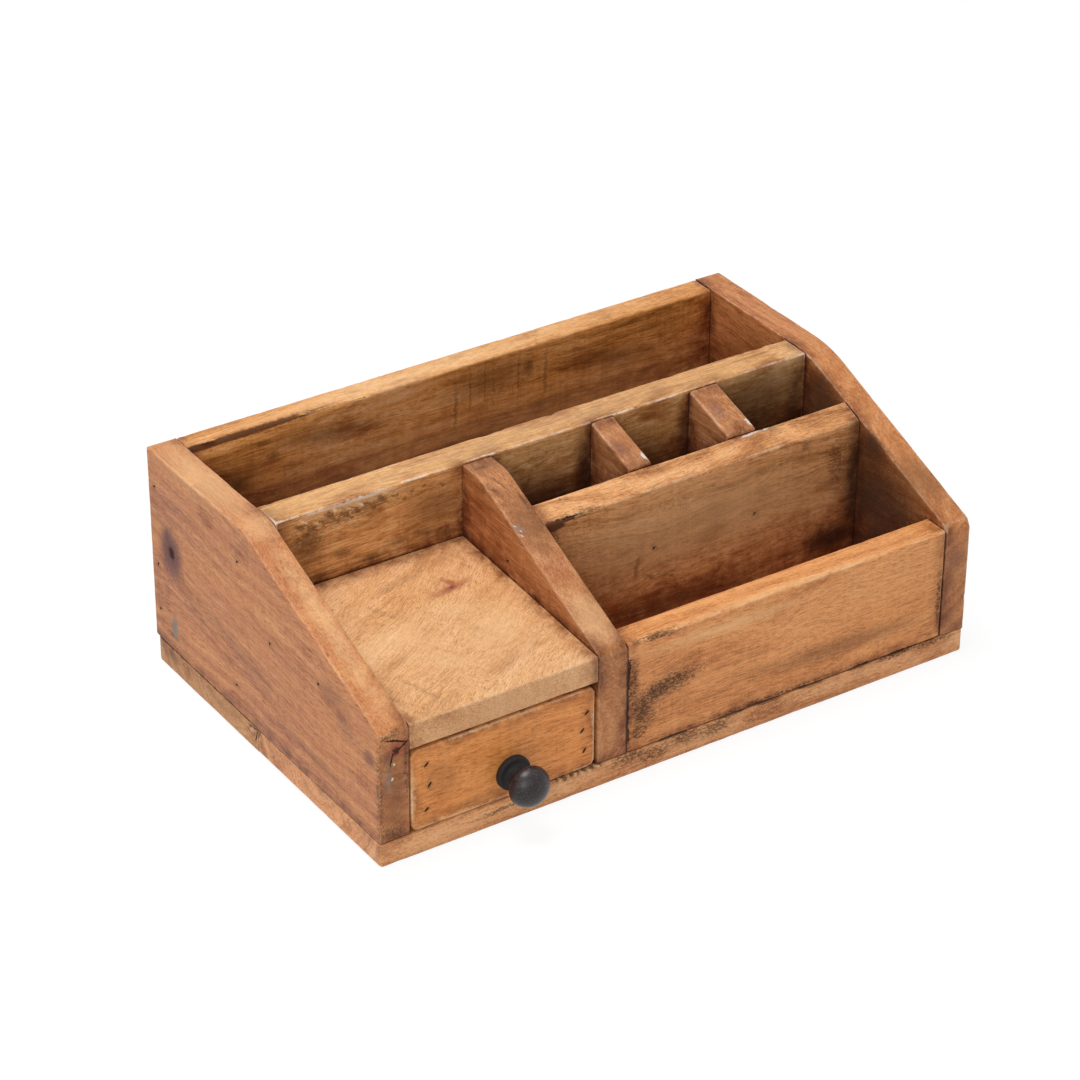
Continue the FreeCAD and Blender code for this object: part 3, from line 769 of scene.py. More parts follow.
class ORGANIZER_OT_base_planks(bpy.types.Operator):
    """Builds the two planks of the base"""

    bl_idname = "organizer.base_planks"
    bl_label = "Base planks"

    def execute(self, context):
        """Two planks with a seam between them, rough-sawn at the front edge."""
        sizes = context.scene.organizer_sizes
        # Reclaimed plank, sawn and waxed: coarse grain with dirt left in the saw marks
        front = wood("rough_sawn_hardwood_front", ("#AE6E3D", "#EDA86F", "#F8C795"), pith=(0, 40, -22),
                     ring=3.0, wave=5.0, mottle=0.7, worn=0.35, joint_dirt_and_shade=0.3, grit=0.6, marks=[
            ("sawn", 0.6, (-112, -85, 5, 26, 5, 8), (-60, -85, 6, 26, 5, 5), (10, -85, 5, 30, 5, 5),
             (-135, -79, 4, 4, 6, 5), (70, -85, 7, 40, 5, 3)),
            ("burn", 0.75,
             *spots([(-26, -85, 8.5), (-14, -85, 6.5), (1, -85, 8.5), (14, -85, 7.8)], (9, 4, 3.6)),
             *spots([(101, -85, 10.2), (120, -85, 9.9)], (12, 4, 1.4)), (-49, -84.6, 10.2, 13, 4, 1.3),
             (-81, -85, 7, 14, 4, 0.9, 0, -4, 0)),
            ("chips", 0.6,
             *spots([(-58, -84, 10.6), (-55.4, -84, 10), (-52.3, -84, 10.7), (-49, -84, 10.2),
                     (-45.8, -84, 10.7), (-42.5, -84, 10.3), (-39.4, -84, 10.8)], (1.3, 4, 0.8),
                     (0, 35, 0))),
            ("bleached", 0.8,
             *spots([(-57, -84, 9.9), (-53.4, -84, 10.1), (-50.1, -84, 9.6), (-46.9, -84, 10.0),
                     (-43.7, -84, 9.6), (-40.4, -84, 10.1)], (1.5, 4, 0.7), (0, 35, 0))),
            ("crack", 0.6,
             *spots([(-5.7, -85, 10.8), (22, -85, 10.8), (40, -85, 10.5), (60, -85, 10.7),
                     (82, -85, 10.9), (104, -85, 10.6)], (6.5, 3, 0.6), (0, 2, 0)),
             (-135, 3.0, 9.4, 3, 0.5, 2.2, 25, 0, 0))])
        # Reclaimed plank, paler where the plane took the skin off its end
        rear = wood("rough_sawn_hardwood_rear", ("#9A6234", "#CF955E", "#E6B685"), pith=(0, -30, -26),
                    ring=3.4, wave=6.0, mottle=0.7, worn=0.4, joint_dirt_and_shade=0.5, marks=[
            ("bleached", 0.55, (-135, 9.5, 8.4, 3, 4.2, 1.6, -12, 0, 0)),
            ("crack", 0.8, (-135, 11.3, 7.2, 3, 1.6, 0.4, 24, 0, 0),
             (-135, 5.4, 7.6, 3, 0.5, 3.0, 20, 0, 0), (-135, 8.2, 10.0, 3, 3.0, 0.35, -10, 0, 0)),
            ("stain", 0.35, (-135, 72.5, 7.5, 4, 4, 3))])
        board("base_front_board", "base_front_plank", front, arris=0.0026, wear=0.00015,
              brads="base_brads", outward=(2, -1))
        low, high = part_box("base_rear_plank")
        cuts = []
        for angle in (22.5, 45, 67.5):
            turn = math.radians(angle)
            normal = Vector((-math.cos(turn), math.sin(turn), 0))
            hub = Vector((low.x + sizes.corner, high.y - sizes.corner, 0))
            cuts.append((hub + normal * sizes.corner, normal))
        board("base_rear_board", "base_rear_plank", rear, cut=cuts, wear=0.00015,
              brads="base_brads", outward=(2, -1))
        return {"FINISHED"}


class ORGANIZER_OT_sides(bpy.types.Operator):
    """Builds the two sloping outer boards"""

    bl_idname = "organizer.sides"
    bl_label = "Sides"

    def execute(self, context):
        """The sloping outer boards; the left one has a knot and an old filled hole."""
        sizes = context.scene.organizer_sizes
        # Hand-sanded and waxed: reddish, close-grained and low in sheen
        left = wood("waxed_reddish_hardwood_left", ("#A05D35", "#CB8350", "#E0A46A"), turn=FRONT_TO_BACK,
                    pith=(0, 150, 40), ring=4.4, wave=9.0, figure=0.2, worn=0.3, gloss=0.46,
                    mottle=0.65, marks=[
            ("halo", 0.95, (-135, 68.7, 56.2, 6, 9.5, 12.5)),
            ("plum", 0.6, (-135, -78.5, 45, 4, 5, 4.5), (-131.5, -85, 47.5, 3, 3, 4),
             (-135, 71.5, 63, 4, 2.4, 4.5, 15, 0, 0)),
            ("plum", 0.3, (-135, -50.9, 57, 4, 9, 5.5, 20, 0, 0), (-135, -62, 50, 4, 9, 6, 25, 0, 0)),
            # Painted light: the level top and the slope made paler where the light falls on them
            ("bleached", 0.4, (-128.5, 50, 96, 10, 40, 5), (-128, 12, 94, 8, 10, 5),
             (-127, -36, 78.4, 5, 56, 2.0, 21, 0, 0)),
            ("shade", 0.6, (-128.5, -86, 30, 9, 3, 34)),
            ("shade", 0.3, (-135, 20, 40, 3, 40, 5, 12, 0, 0), (-135, -40, 22, 3, 30, 4, 8, 0, 0),
             (-135, -56, 60, 3, 12, 4, 22, 0, 0)),
            ("ruddy", 0.7, (-127.6, -85, 50, 4.8, 3, 4.4)),
            ("knot", 0.85, (-135, 68.2, 56.6, 4, 3.1, 4.2), (-127.6, -85, 49.5, 1.8, 3, 2.4)),
            ("stain", 0.6, (-135, 69, 22.4, 4, 2.2, 5.6, 6, 0, 0), (-135, 70, 18, 4, 6, 2)),
            ("filler", 0.9, (-135, 68.2, 22.6, 4, 2.1, 4.6, 6, 0, 0)),
            ("crack", 0.95, (-127.5, -85, 53.8, 5.2, 3, 0.45, 0, 20, 0),
             (-125.2, -85, 50.6, 3.4, 3, 0.4, 0, -38, 0), (-129.6, -85, 46.2, 0.45, 3, 3.2, 0, 14, 0)),
            ("grey", 0.5, (-131, -85, 38, 2.4, 3, 7)),
            ("burn", 0.6, (-134.4, -85, 32, 1.3, 3, 24), (-129, -85, 14, 6, 3, 4),
             (-130, -85, 57, 5.5, 3, 1.4, 0, -12, 0), (-123.3, -85, 40, 1.0, 3, 14)),
            ("pale", 0.9, (-129.5, -85, 38, 0.6, 2, 0.6), (-128.4, -85, 44, 0.4, 2, 0.5))])
        # The same wood, browner on the inner face, with stains and painted shade there
        right = wood("waxed_reddish_hardwood_right", ("#94522B", "#CC854F", "#E3AA75"), turn=FRONT_TO_BACK,
                     pith=(0, -170, 30), ring=4.0, wave=8.0, figure=0.2, worn=0.5, marks=[
            # Painted shade down the inner face, in the front compartment and by the slots
            ("dusk", 0.85, (123, -48, 44, 2.8, 40, 44)),
            ("dusk", 0.8, (123, -3, 80, 2.6, 14, 19), (123, -37, 75, 2.5, 11, 11, 20, 0, 0)),
            ("dusk", 0.55, (123, -30, 62, 3, 34, 18, 18, 0, 0)),
            ("shade", 0.25, (129, -85, 30, 8, 4, 28)),
            ("shade", 0.55, (123, 40, 60, 4, 32, 32), (123, -8, 70, 4, 18, 24),
             (129, -62, 70, 8, 18, 10, 21, 0, 0)),
            ("stain", 0.7,
             *spots([(123, -36, 50), (123, -44, 34), (123, -33, 24), (123, -55, 22)], (4, 7, 9),
                     (20, 0, 0))),
            ("plum", 0.5, (129, -83, 45, 7, 6, 6))])
        low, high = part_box("left_side")
        board("left_side_board", "left_side", left,
              top=slope(sizes.left_kink, high.z, low.y, sizes.left_front, bend=0.012, nose=sizes.left_nose),
              arris=0.0019, brads="left_side_brads", outward=(0, -1), hole=(0.8, 0.5), pitch=0.002)
        low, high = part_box("right_side")
        board("right_side_board", "right_side", right,
              top=slope(sizes.right_kink, high.z, low.y, sizes.right_front, bend=0.055,
                        nose=sizes.right_nose),
              arris=0.0019, brads="right_side_brads", outward=(0, 1), hole=(0.8, 0.5), pitch=0.002)
        return {"FINISHED"}


class ORGANIZER_OT_back_panel(bpy.types.Operator):
    """Builds the rear board with its waney strip"""

    bl_idname = "organizer.back_panel"
    bl_label = "Back panel"

    def execute(self, context):
        """The rear board, with a tapering strip left from the outside of the log."""
        sizes = context.scene.organizer_sizes
        low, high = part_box("back_panel")
        corner = Vector((low.x, low.y, high.z))
        a = corner - Vector((0, 0, sizes.wane_depth))
        b = corner + Vector((0, sizes.wane_width, 0))
        c = corner + Vector(((high.x - low.x) * sizes.wane_share, 0, 0))
        normal = (b - a).cross(c - a).normalized()
        if normal.dot(corner - a) < 0:
            normal.negate()
        # Broad, uneven brown with dark spots inside, and a strip of dark bark side along its top
        look = wood("waxed_brown_hardwood_back", ("#925622", "#DD954E", "#F5C08A"), pith=(0, -70, -130),
                    ring=5.0, wave=8.0, figure=0.2, mottle=1.0, worn=0.25, marks=[
            ("shade", 0.55, (-112, 73.5, 74, 22, 4, 9, 0, -12, 0), (-60, 73.5, 84, 30, 4, 5, 0, 6, 0),
             (15, 73.5, 86, 26, 4, 9), (70, 73.5, 80, 30, 4, 6, 0, 8, 0)),
            ("stain", 0.6, (-85.9, 73.5, 81.8, 3.2, 4, 3.4), (-102, 73.5, 72.7, 5, 4, 4.5),
             (33, 73.5, 86, 3, 4, 4), (-118, 73.5, 76, 3, 4, 9)),
            ("bleached", 0.2, (0, 73.5, 60, 140, 3, 18)),
            ("plum", 0.08, (0, 79.5, 97, 130, 8, 3)),
            # Painted light: its top made paler where the light falls on it
            ("bleached", 0.4, (0, 79.5, 97, 130, 8, 3)),
            ("stain", 0.45,
             *spots([(5, 73.5, 84), (12, 73.5, 86), (16, 73.5, 82), (28, 73.5, 84)], (0.5, 4, 13),
                     (0, 2, 0)), *spots([(-2, 73.5, 78), (41, 73.5, 82)], (1.0, 4, 12), (0, 3, 0))),
            ("bark", 0.9, (-121, 75.6, 94.0, 62, 3, 1.3, 0, -1.3, 0))])
        board("back_board", "back_panel", look, cut=[(a, normal)])
        return {"FINISHED"}


class ORGANIZER_OT_partitions(bpy.types.Operator):
    """Builds the long and the short board across the case"""

    bl_idname = "organizer.partitions"
    bl_label = "Partitions"

    def execute(self, context):
        """The long partition with its chewed front arris, and the lower short one."""
        sizes = context.scene.organizer_sizes
        row = [(-111.6, 90.4), (-106.3, 88.4), (-98.4, 91.6), (-91.5, 89.6), (-87.0, 90.4), (-75.8, 91.6)]
        small = [(-102.4, 90.0), (-95.2, 88.2), (-82.6, 91.6), (-79.4, 88.9), (-70.0, 91.1), (-66.0, 88.6),
                 (-62.4, 90.6), (-57.0, 91.2), (-48.8, 89.3), (-109, 86.2), (-89, 87.6)]
        # Scarred by an old saw: a row of torn crescents, whitish where the wax is off the arris
        long_look = wood("waxed_brown_hardwood_long", ("#95602F", "#D79B5E", "#F6CB94"), pith=(0, -10, -90),
                         ring=2.6, wave=5.0, figure=0.2, mottle=0.9, worn=1.0, rub="#FBEBDD", marks=[
            ("shade", 0.6, (-52, 8.4, 80, 16, 4, 12), (-108, 8.4, 80, 9, 4, 8)),
            ("stain", 0.5,
             *spots([(-49, 8.4, 69), (-58, 8.4, 70.5), (-69.4, 8.4, 70.8), (-93.3, 8.4, 73.5),
                     (-106.8, 8.4, 66.9), (-81, 8.4, 68)], (5.5, 3, 2.4), (0, 10, 0))),
            ("bleached", 0.5, (-86, 8.4, 93, 26, 3, 2.2)),
            # Painted light: its whole top made paler where the light falls on it
            ("bleached", 0.25, (-30, 15.6, 96, 170, 7, 3)),
            # Painted shade low on its front face, down in the slots and in the compartment in front of it
            ("dusk", 0.62, (98, 8.4, 80, 30, 3, 20), (-4, 8.4, 64, 28, 3, 18), (16, 8.4, 76, 6, 3, 17)),
            ("dusk", 0.6, (48, 8.4, 46, 92, 3, 36),
             *spots([(16, 8.4, 70), (64, 8.4, 72), (118, 8.4, 72)], (5, 3, 22))),
            ("burn", 0.5, (-92, 8.4, 89.5, 26, 3, 3.4, 0, -3, 0), (-108, 8.4, 85, 7, 3, 6)),
            ("chips", 0.6, *spots([(x, 8.4, z) for x, z in row], (2.7, 2, 1.0), (0, 34, 0)),
             *spots([(x, 8.4, z) for x, z in small], (1.3, 2, 0.7), (0, 10, 0))),
            # Painted highlights on the lit upper edges of the torn crescents
            ("bleached", 0.8,
             *spots([(x + 1.7, 8.4, z + 1.7) for x, z in row], (2.2, 2, 0.8), (0, 34, 0))),
            # More painted highlights on the crescents, and the whitish worn arris above them
            ("pale", 0.6,
             *spots([(x + 2.2, 8.4, z + 1.5) for x, z in row[::2]], (1.2, 2, 0.5), (0, 34, 0)),
             (-86, 8.4, 94.6, 16, 2, 0.6), (-104, 8.4, 94.6, 6, 2, 0.5))])
        # Softer, curlier and lighter, with worm-like figure
        short_look = wood("waxed_curly_hardwood_short", ("#98602F", "#DF9D64", "#F8C38C"), pith=(0, 30, -50),
                          ring=4.6, wave=12.0, figure=0.28, mottle=0.75, worn=0.7, grit=0.45, marks=[
            ("bleached", 0.4, (40, -28.2, 62, 70, 3, 20)),
            # Painted shade in the corner at its right end and along the bottom of its face
            ("dusk", 0.85, (123, -28.2, 55, 9, 4, 40), (112, -28.2, 32, 16, 4, 8)),
            ("dusk", 0.45, (30, -28.2, 28, 60, 4, 7)),
            ("burn", 0.6, (-23.5, -28.2, 72, 4, 3, 8), (-8, -28.2, 82, 9, 3, 1.6),
             (112, -28.2, 66, 4, 3, 12)),
            ("bark", 0.95, (-22.6, -28.2, 80.4, 5.6, 3, 2.3, 0, 4, 0), (-15.8, -28.2, 81.5, 3.4, 3, 0.9)),
            ("stain", 0.5, (96.4, -28.2, 77.9, 2.4, 3, 2), (101.5, -28.2, 29.5, 1.2, 3, 5, 0, 10, 0),
             (55, -28.2, 35, 6.5, 3, 0.9, 0, -45, 0), (86, -17.8, 85.2, 4.5, 6, 3)),
            ("shade", 0.6, (16.4, -28.2, 49, 1.4, 3, 6, 0, 12, 0),
             (22.6, -28.2, 43, 4.4, 3, 1.3, 0, 25, 0), (32, -28.2, 42, 5, 3, 1.1, 0, -6, 0),
             (-14.2, -19.9, 86, 0.9, 0.9, 3)),
            ("crack", 0.8, (80, -18.2, 86, 6.5, 0.6, 4), (-16, -28.2, 82.2, 7, 1, 0.5)),
            ("pale", 0.7, (76, -18.8, 86, 4.6, 0.5, 4, 0, 0, 4), (83.5, -18.6, 86, 1.8, 0.4, 4, 0, 0, 10))])
        board("long_partition_board", "long_partition", long_look,
              brads="long_partition_brads", outward=(1, 1), hole=(0.8, 0.5), wear=0.0004)
        low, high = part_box("short_partition")
        depth = high.y - low.y
        board("short_partition_board", "short_partition", short_look,
              top=lambda y: high.z - sizes.short_fall * (high.y - y) / depth,
              brads="short_partition_brads", outward=(1, -1), hole=(0.8, 0.5))
        return {"FINISHED"}


class ORGANIZER_OT_dividers(bpy.types.Operator):
    """Builds the sloped middle divider and the two slot dividers"""

    bl_idname = "organizer.dividers"
    bl_label = "Dividers"

    def execute(self, context):
        """The sloped middle divider and the two short boards between the pen slots."""
        sizes = context.scene.organizer_sizes
        # Reddish brown with dark streaks across its top, where it was sanded through to older wood
        look = wood("waxed_reddish_hardwood_divider", ("#91522C", "#BF7F4F", "#DBA474"), turn=FRONT_TO_BACK,
                    pith=(0, 60, -20), ring=3.6, wave=8.0, figure=0.16, mottle=0.6, worn=0.15, marks=[
            ("shade", 0.55, (-33, -28, 84.7, 7, 20, 4, 24, 0, 0), (-33, 3, 96, 8, 5, 4)),
            ("stain", 0.65, (-37.3, -10.5, 92.7, 1.1, 7.5, 5, 0, 0, 25),
             (-33.4, -8, 94, 0.8, 6.5, 5, 0, 0, 28), (-29.0, -17, 90, 1.2, 6.0, 5),
             (-35, 3, 96, 4, 1.6, 4, 0, 0, 20)),
            ("grey", 0.6, (-37.8, -28, 84.8, 2.4, 3.4, 4, 0, 0, 20)),
            ("pale", 0.6,
             *spots([(-38.7, -26.2, 85.5), (-37.6, -28.6, 84.4), (-38.4, -30.6, 83.5)], (0.3, 0.6, 3),
                     (0, 0, 30))),
            ("ruddy", 0.3, (-33.5, -48, 76, 6, 8, 5, 24, 0, 0)),
            ("crack", 0.6, (-27, -85, 34, 0.5, 3, 24)),
            ("bleached", 0.35, (-33.4, -70, 65.8, 8, 15, 5, 24, 0, 0))])
        # The same wood with darker ends
        short = wood("waxed_reddish_hardwood_slots", ("#8B532B", "#BC7B4B", "#D9A478"), turn=FRONT_TO_BACK,
                     pith=(0, -50, 30), ring=3.2, wave=7.0, figure=0.22, mottle=0.9, marks=[
            ("pale", 0.85, (29, -14.5, 88.6, 1.4, 2.2, 3, 0, 0, 20),
             (78.6, -14.5, 88.6, 1.2, 2, 3, 0, 0, 10)),
            ("plum", 0.45, (22, -8, 92, 4, 8, 8, 0, 0, 20), (70, -4, 93, 4, 8, 8, 0, 0, -15))])
        low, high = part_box("middle_divider")
        board("middle_divider_board", "middle_divider", look,
              top=slope(sizes.divider_kink, high.z, low.y, sizes.divider_front, bend=0.02, nose=0.002),
              brads="middle_divider_brads", outward=(0, -1), hole=(0.8, 0.5), arris=0.0013)
        for side in ("left", "right"):
            node = f"slot_divider_{side}"
            low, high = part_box(node)
            board(f"slot_divider_{side}_board", node, short,
                  top=lambda y: high.z - sizes.slot_fall * (high.y - y) / (high.y - low.y))
        return {"FINISHED"}


class ORGANIZER_OT_front_panel(bpy.types.Operator):
    """Builds the low board across the front compartment"""

    bl_idname = "organizer.front_panel"
    bl_label = "Front panel"

    def execute(self, context):
        """The low front board, with a dark stain at its left end."""
        # Even, straight-grained and well waxed, with an old burn at its left end
        look = wood("waxed_hardwood_front", ("#A86430", "#E19759", "#F3B275"), pith=(0, 20, -48), ring=4.2,
                    wave=6.0, figure=0.16, mottle=0.6, flecks=0.55, grit=0.6, marks=[
            ("shade", 0.5, (-11, -85, 34.5, 18, 4, 6, 0, -9, 0), (-20, -85, 26, 7, 4, 8),
             (70, -85, 24, 50, 4, 5, 0, 2, 0)),
            ("burn", 0.75, (-8, -85, 35.6, 15, 4, 4.2, 0, -9, 0), (-19.5, -85, 28, 6, 4, 8),
             (-14, -85, 33.6, 8, 4, 4.6, 0, -9, 0), (-24.5, -85, 40, 3, 4, 12), (-21, -85, 19, 4, 4, 4),
             (121, -85, 30, 1.2, 4, 14), (-13, -84.4, 58.8, 9, 2.2, 1.6, 0, 2, 0),
             (40, -85, 12.4, 44, 4, 0.9)),
            ("stain", 0.55, (-13, -85, 34.6, 6, 3, 2.6, 0, -9, 0), (-19.8, -85, 30, 2.4, 3, 4)),
            ("stain", 0.6, (-14, -84.2, 59, 5, 2.2, 1.2, 0, 2, 0),
             (-23, -84.2, 58.6, 2.6, 2.2, 1.2, 0, 2, 0), (123, -85, 19, 1.2, 3, 5)),
            ("bleached", 0.35, (48, -84, 59.4, 60, 3, 1.4), (20, -85, 52, 40, 3, 3)),
            ("crack", 0.85, (-26.8, -85, 34, 0.75, 3, 24), (-26.3, -85, 46, 0.8, 3, 7, 0, 5, 0),
             (-26.5, -85, 20, 0.7, 3, 5, 0, -6, 0),
             *spots([(-5.7, -85, 11.3), (34, -85, 11.4), (54, -85, 11.2), (86.5, -85, 11.5),
                     (104, -85, 11.2)], (6, 3, 0.6), (0, 3, 0)))])
        board("front_board", "front_panel", look)
        return {"FINISHED"}


class ORGANIZER_OT_shelf(bpy.types.Operator):
    """Builds the fixed board over the drawer"""

    bl_idname = "organizer.shelf"
    bl_label = "Shelf"

    def execute(self, context):
        """The light, curly board nailed in over the drawer."""
        sizes = context.scene.organizer_sizes
        low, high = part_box("shelf")
        depth = high.y - low.y
        # Pale and curly, flat-sawn, so that the rings open into broad swirls round a small knot
        look = wood("waxed_curly_hardwood_shelf", ("#B87C47", "#E4AC76", "#F8CFA8"),
                    turn=(0, 0, math.radians(-32)), pith=(0, 60, -75), ring=7.5, wave=12.0, figure=0.08,
                    flecks=0.25, mottle=0.45, grit=0.75, marks=[
            ("bleached", 0.3, (-102.3, -37.3, 61, 20, 11, 8, 0, 0, 20),
             (-62, -48, 60, 22, 13, 8, 0, 0, 30)),
            ("shade", 0.28, (-94.5, -20.5, 62, 8, 1.3, 6, 0, 0, -62),
             (-107, -68, 59, 14, 1.3, 6, 0, 0, -70), (-80, -7, 63, 18, 3, 6, 0, 0, 12),
             (-116, -10, 63, 5, 16, 6)),
            ("bleached", 0.25, (-88, -60, 58, 14, 5, 8, 0, 0, -40), (-70, -30, 61, 16, 5, 8, 0, 0, -30)),
            ("ruddy", 0.2, (-80, -86.6, 52, 56, 2.6, 12)),
            ("bleached", 0.22, (-80, -86.6, 51, 56, 2.6, 11)),
            ("ruddy", 0.75, (-62.9, -19.7, 62, 11, 2.8, 6, 0, 0, 12),
             (-61.5, -17, 62, 2.2, 5.5, 6, 0, 0, 20)),
            ("plum", 0.6, (-62.6, -19.4, 62, 2.2, 1.1, 6, 0, 0, 12))])
        rise = sizes.shelf_rise
        board("shelf_board", "shelf", look,
              top=lambda y: high.z - rise * (high.y - y) / depth,
              under=lambda y: low.z + rise * (y - low.y) / depth,
              brads="shelf_brad", outward=(1, -1))
        return {"FINISHED"}


class ORGANIZER_OT_drawer(bpy.types.Operator):
    """Builds the five boards of the drawer"""

    bl_idname = "organizer.drawer"
    bl_label = "Drawer"

    def execute(self, context):
        """The drawer's front, sides, back and thin bottom."""
        sizes = context.scene.organizer_sizes
        # Orange and straight-grained, rubbed pale along every arris
        face = wood("waxed_orange_hardwood_drawer", ("#B86A2F", "#EA9850", "#F6B06C"), pith=(0, 15, -24),
                    ring=2.4, wave=4.0, figure=0.2, flecks=0.5, mottle=0.5, worn=0.85, marks=[
            ("bleached", 0.5, (-121.1, -84.8, 27, 1.6, 3, 18), (-100, -84.8, 11.8, 24, 3, 1.2),
             (-41.8, -84.8, 30, 1.0, 3, 16), (-80, -84.8, 46.2, 40, 3, 1.0)),
            ("shade", 0.3, (-108, -84.8, 30, 9, 3, 9, 0, 20, 0), (-85, -84.8, 15, 30, 3, 3))])
        # Plain planed wood with less wax, since it hides in the bay
        plain = wood("plain_hardwood_drawer_sides", ("#A26C3C", "#D19C66", "#E6BE8E"), turn=FRONT_TO_BACK,
                     pith=(0, 90, -30), ring=3.2, wave=6.0, figure=0.25, mottle=0.4, gloss=0.55)
        across = wood("plain_hardwood_drawer_back", ("#A26C3C", "#D19C66", "#E6BE8E"), pith=(0, -40, -30),
                      ring=3.2, wave=6.0, figure=0.25, mottle=0.4, gloss=0.55)
        # Rotary-cut face veneer: broad, wandering figure
        sheet = wood("thin_plywood_drawer_bottom", ("#B08054", "#D6AD7C", "#E6C79C"), pith=(0, 40, -160),
                     ring=7.0, wave=14.0, figure=0.4, mottle=0.4, gloss=0.55)
        board("drawer_face_board", "drawer_front", face, "drawer",
              arris=0.001, brads="drawer_front_brads", outward=(1, -1), tilt=50, hole=(1.25, 0.5),
              pitch=0.0013, corner=sizes.drawer_corner)
        board("drawer_left_board", "drawer_left_side", plain, "drawer", arris=0.0008,
              brads="drawer_back_brads", outward=(0, -1), hole=(0.8, 0.5))
        board("drawer_right_board", "drawer_right_side", plain, "drawer", arris=0.0008,
              brads="drawer_back_brads", outward=(0, 1), hole=(0.8, 0.5))
        board("drawer_rear_board", "drawer_back", across, "drawer", arris=0.0008)
        board("drawer_floor_sheet", "drawer_bottom", sheet, "drawer", arris=0.0004)
        return {"FINISHED"}


class ORGANIZER_OT_knob(bpy.types.Operator):
    """Turns the drawer's knob"""

    bl_idname = "organizer.knob"
    bl_label = "Knob"

    def execute(self, context):
        """A rosette, a waisted neck and a domed head, drawn out of a disc ring by ring."""
        low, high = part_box("knob")
        centre = (low + high) / 2
        clear_selection()
        bpy.ops.mesh.primitive_circle_add(vertices=72, radius=KNOB_RINGS[0][1] * MM, fill_type="NGON",
                                          location=(centre.x, high.y, centre.z), rotation=(math.pi / 2, 0, 0))
        bpy.ops.object.transform_apply(location=True, rotation=True, scale=True)
        piece = context.object
        piece.name = "drawer_knob"
        piece.data.name = "drawer_knob"
        bpy.ops.object.mode_set(mode="EDIT")
        bpy.context.tool_settings.mesh_select_mode = (False, False, True)
        bpy.ops.mesh.select_all(action="SELECT")
        # The dome is half an ellipse, 6.6 mm deep on a radius of 8.3 mm
        dome = [(11.2 + 6.6 * math.sin(math.radians(a)), 8.3 * math.cos(math.radians(a)))
                for a in (9, 18, 27, 36, 45, 54, 63, 72, 80, 86)]
        depth, radius = KNOB_RINGS[0]
        for next_depth, next_radius in (*KNOB_RINGS[1:], *dome):
            bpy.ops.mesh.extrude_region_move(
                TRANSFORM_OT_translate={"value": (0, (depth - next_depth) * MM, 0)})
            share = next_radius / radius
            bpy.ops.transform.resize(value=(share, 1, share),
                                     center_override=(centre.x, high.y - next_depth * MM, centre.z))
            depth, radius = next_depth, next_radius
        bpy.ops.mesh.select_all(action="SELECT")
        bpy.ops.mesh.normals_make_consistent(inside=False)
        bpy.ops.object.mode_set(mode="OBJECT")
        bpy.ops.object.shade_smooth_by_angle(angle=math.radians(40))
        piece.data.materials.append(knob_finish(centre, high.y))
        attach(piece, "drawer")
        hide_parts("knob")
        return {"FINISHED"}


class ORGANIZER_OT_fixings(bpy.types.Operator):
    """Gives the brads and the knob's screw their metals"""

    bl_idname = "organizer.fixings"
    bl_label = "Brads and screw"

    def execute(self, context):
        """Rusty steel brads and a plain steel screw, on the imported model's own solids."""
        # Cut steel browned by rust: dark and dull, so that a brad reads as a black speck
        rusty = steel("rusty_steel_brad", "#4A3328", "#1E1613", 0.55, 0.72)
        # Plain wire steel with a dull shine
        plain = steel("plain_steel_screw", "#9C9890", "#6F6A63", 0.28, 0.45)
        for name, node in frame["nodes"].items():
            if "brad" in name or name == "knob_screw":
                for each in node.material_slots:
                    each.material = plain if name == "knob_screw" else rusty
        return {"FINISHED"}


def background_rays(tree):
    """1 for a ray that shows the background: from the camera, off a shiny surface or through glass."""
    paths = add(tree, "LightPath", out=None).outputs
    seen = paths["Is Camera Ray"]
    for other in ("Is Glossy Ray", "Is Transmission Ray"):
        seen = add(tree, "Math", {0: seen, 1: paths[other]}, operation="MAXIMUM")
    return seen


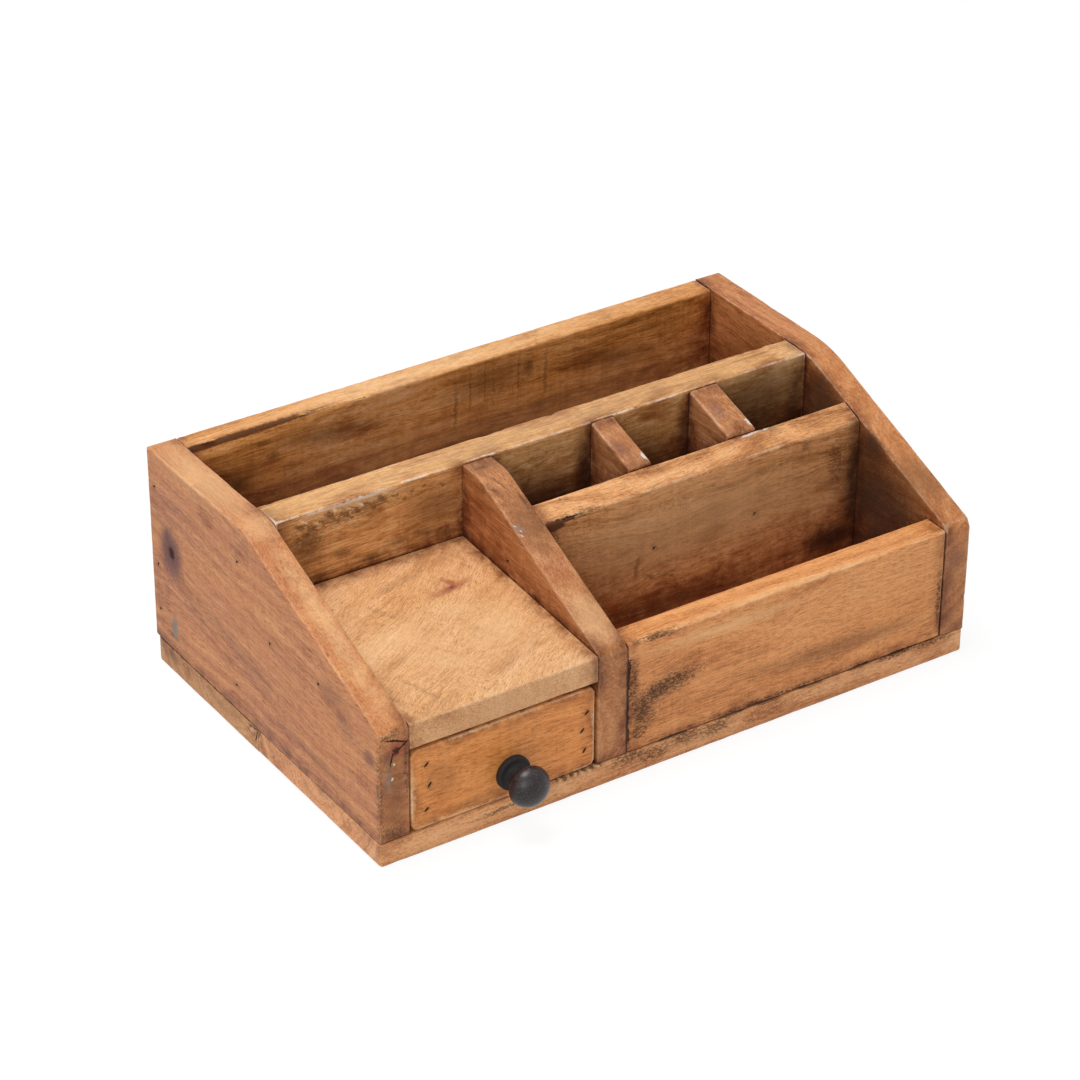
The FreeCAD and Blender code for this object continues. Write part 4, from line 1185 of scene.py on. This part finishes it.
class ORGANIZER_OT_stage(bpy.types.Operator):
    """Sets up the floor, the backdrop, the lights and the camera"""

    bl_idname = "organizer.stage"
    bl_label = "Stage"

    def execute(self, context):
        """A white floor that keeps the shadow, a white sky, two soft lamps and the camera."""
        scene = context.scene
        clear_selection()
        bpy.ops.mesh.primitive_plane_add(size=8, location=(0, 0, 0))
        floor = context.object
        floor.name = "floor"
        # Mostly white light of its own to the eye, and a plain pale floor to all other light
        material, tree = new_material("pale_floor")
        share = add(tree, "Math", {0: background_rays(tree), 1: 0.86}, operation="MULTIPLY")
        plain = add(tree, "BsdfDiffuse", {"Color": opaque(scene.organizer_colours.floor)})
        bright = add(tree, "Emission", {"Color": (1, 1, 1, 1), "Strength": 1.05})
        both = add(tree, "MixShader", {0: share, 1: plain, 2: bright})
        add(tree, "OutputMaterial", {0: both}, out=None)
        floor.data.materials.append(material)

        # White to the eye, and 0.3 as strong on the object
        world = bpy.data.worlds.new("pale_sky")
        world.use_nodes = True
        tree = world.node_tree
        tree.nodes.clear()
        strength = add(tree, "MapRange", {0: background_rays(tree), 1: 0.0, 2: 1.0, 3: 0.3, 4: 1.0})
        sky = add(tree, "Background", {"Color": (1, 1, 1, 1), "Strength": strength})
        add(tree, "OutputWorld", {0: sky}, out=None)
        scene.world = world

        for name, place, size, energy in (("overhead_softbox", (-0.25, 0.1, 1.5), 0.7, 15.5),
                                          ("front_softbox", (-1.15, -1.25, 0.95), 0.9, 8.6)):
            bpy.ops.object.light_add(type="AREA", location=place)
            lamp = context.object
            lamp.name = name
            lamp.data.shape = "SQUARE"
            lamp.data.size = size
            lamp.data.energy = energy
            aim = Vector((0, 0, 0.03)) - lamp.location
            lamp.rotation_euler = aim.to_track_quat("-Z", "Y").to_euler()

        bpy.ops.object.camera_add(location=(-0.7007, -1.0416, 0.8121))
        camera = context.object
        camera.name = "camera"
        azimuth, elevation, roll = (math.radians(angle) for angle in (-33.55, 31.17, 0.32))
        back = Vector((math.sin(azimuth) * math.cos(elevation), -math.cos(azimuth) * math.cos(elevation),
                       math.sin(elevation)))
        right = Vector((0, 0, 1)).cross(back).normalized()
        up = back.cross(right)
        turned = Matrix((right * math.cos(roll) + up * math.sin(roll),
                         up * math.cos(roll) - right * math.sin(roll), back)).transposed()
        camera.rotation_euler = turned.to_euler()
        camera.data.lens = 125.55
        camera.data.sensor_width = 36
        camera.data.clip_start = 0.05
        camera.data.clip_end = 50
        scene.camera = camera
        scene.view_settings.view_transform = "Standard"
        return {"FINISHED"}


class ORGANIZER_PT_pieces(bpy.types.Panel):
    bl_label = "Desk organizer"
    bl_idname = "ORGANIZER_PT_pieces"
    bl_space_type = "VIEW_3D"
    bl_region_type = "UI"
    bl_category = "Organizer"

    def draw(self, context):
        for operator in OPERATORS:
            self.layout.operator(operator.bl_idname)
        for group in (context.scene.organizer_sizes, context.scene.organizer_colours):
            for name in group.bl_rna.properties.keys():
                if name not in ("rna_type", "name"):
                    self.layout.prop(group, name)


OPERATORS = (
    ORGANIZER_OT_base_planks,
    ORGANIZER_OT_sides,
    ORGANIZER_OT_back_panel,
    ORGANIZER_OT_partitions,
    ORGANIZER_OT_dividers,
    ORGANIZER_OT_front_panel,
    ORGANIZER_OT_shelf,
    ORGANIZER_OT_drawer,
    ORGANIZER_OT_knob,
    ORGANIZER_OT_fixings,
    ORGANIZER_OT_stage,
)
CLASSES = (OrganizerSizes, OrganizerColours, *OPERATORS, ORGANIZER_PT_pieces)


def register():
    for each in CLASSES:
        bpy.utils.register_class(each)
    bpy.types.Scene.organizer_sizes = PointerProperty(type=OrganizerSizes)
    bpy.types.Scene.organizer_colours = PointerProperty(type=OrganizerColours)


def unregister():
    del bpy.types.Scene.organizer_colours
    del bpy.types.Scene.organizer_sizes
    for each in reversed(CLASSES):
        bpy.utils.unregister_class(each)


def main():
    """Builds every piece and the stage."""
    register()
    bpy.ops.organizer.base_planks()
    bpy.ops.organizer.sides()
    bpy.ops.organizer.back_panel()
    bpy.ops.organizer.partitions()
    bpy.ops.organizer.dividers()
    bpy.ops.organizer.front_panel()
    bpy.ops.organizer.shelf()
    bpy.ops.organizer.drawer()
    bpy.ops.organizer.knob()
    bpy.ops.organizer.fixings()
    bpy.ops.organizer.stage()


if __name__ == "__main__":
    main()
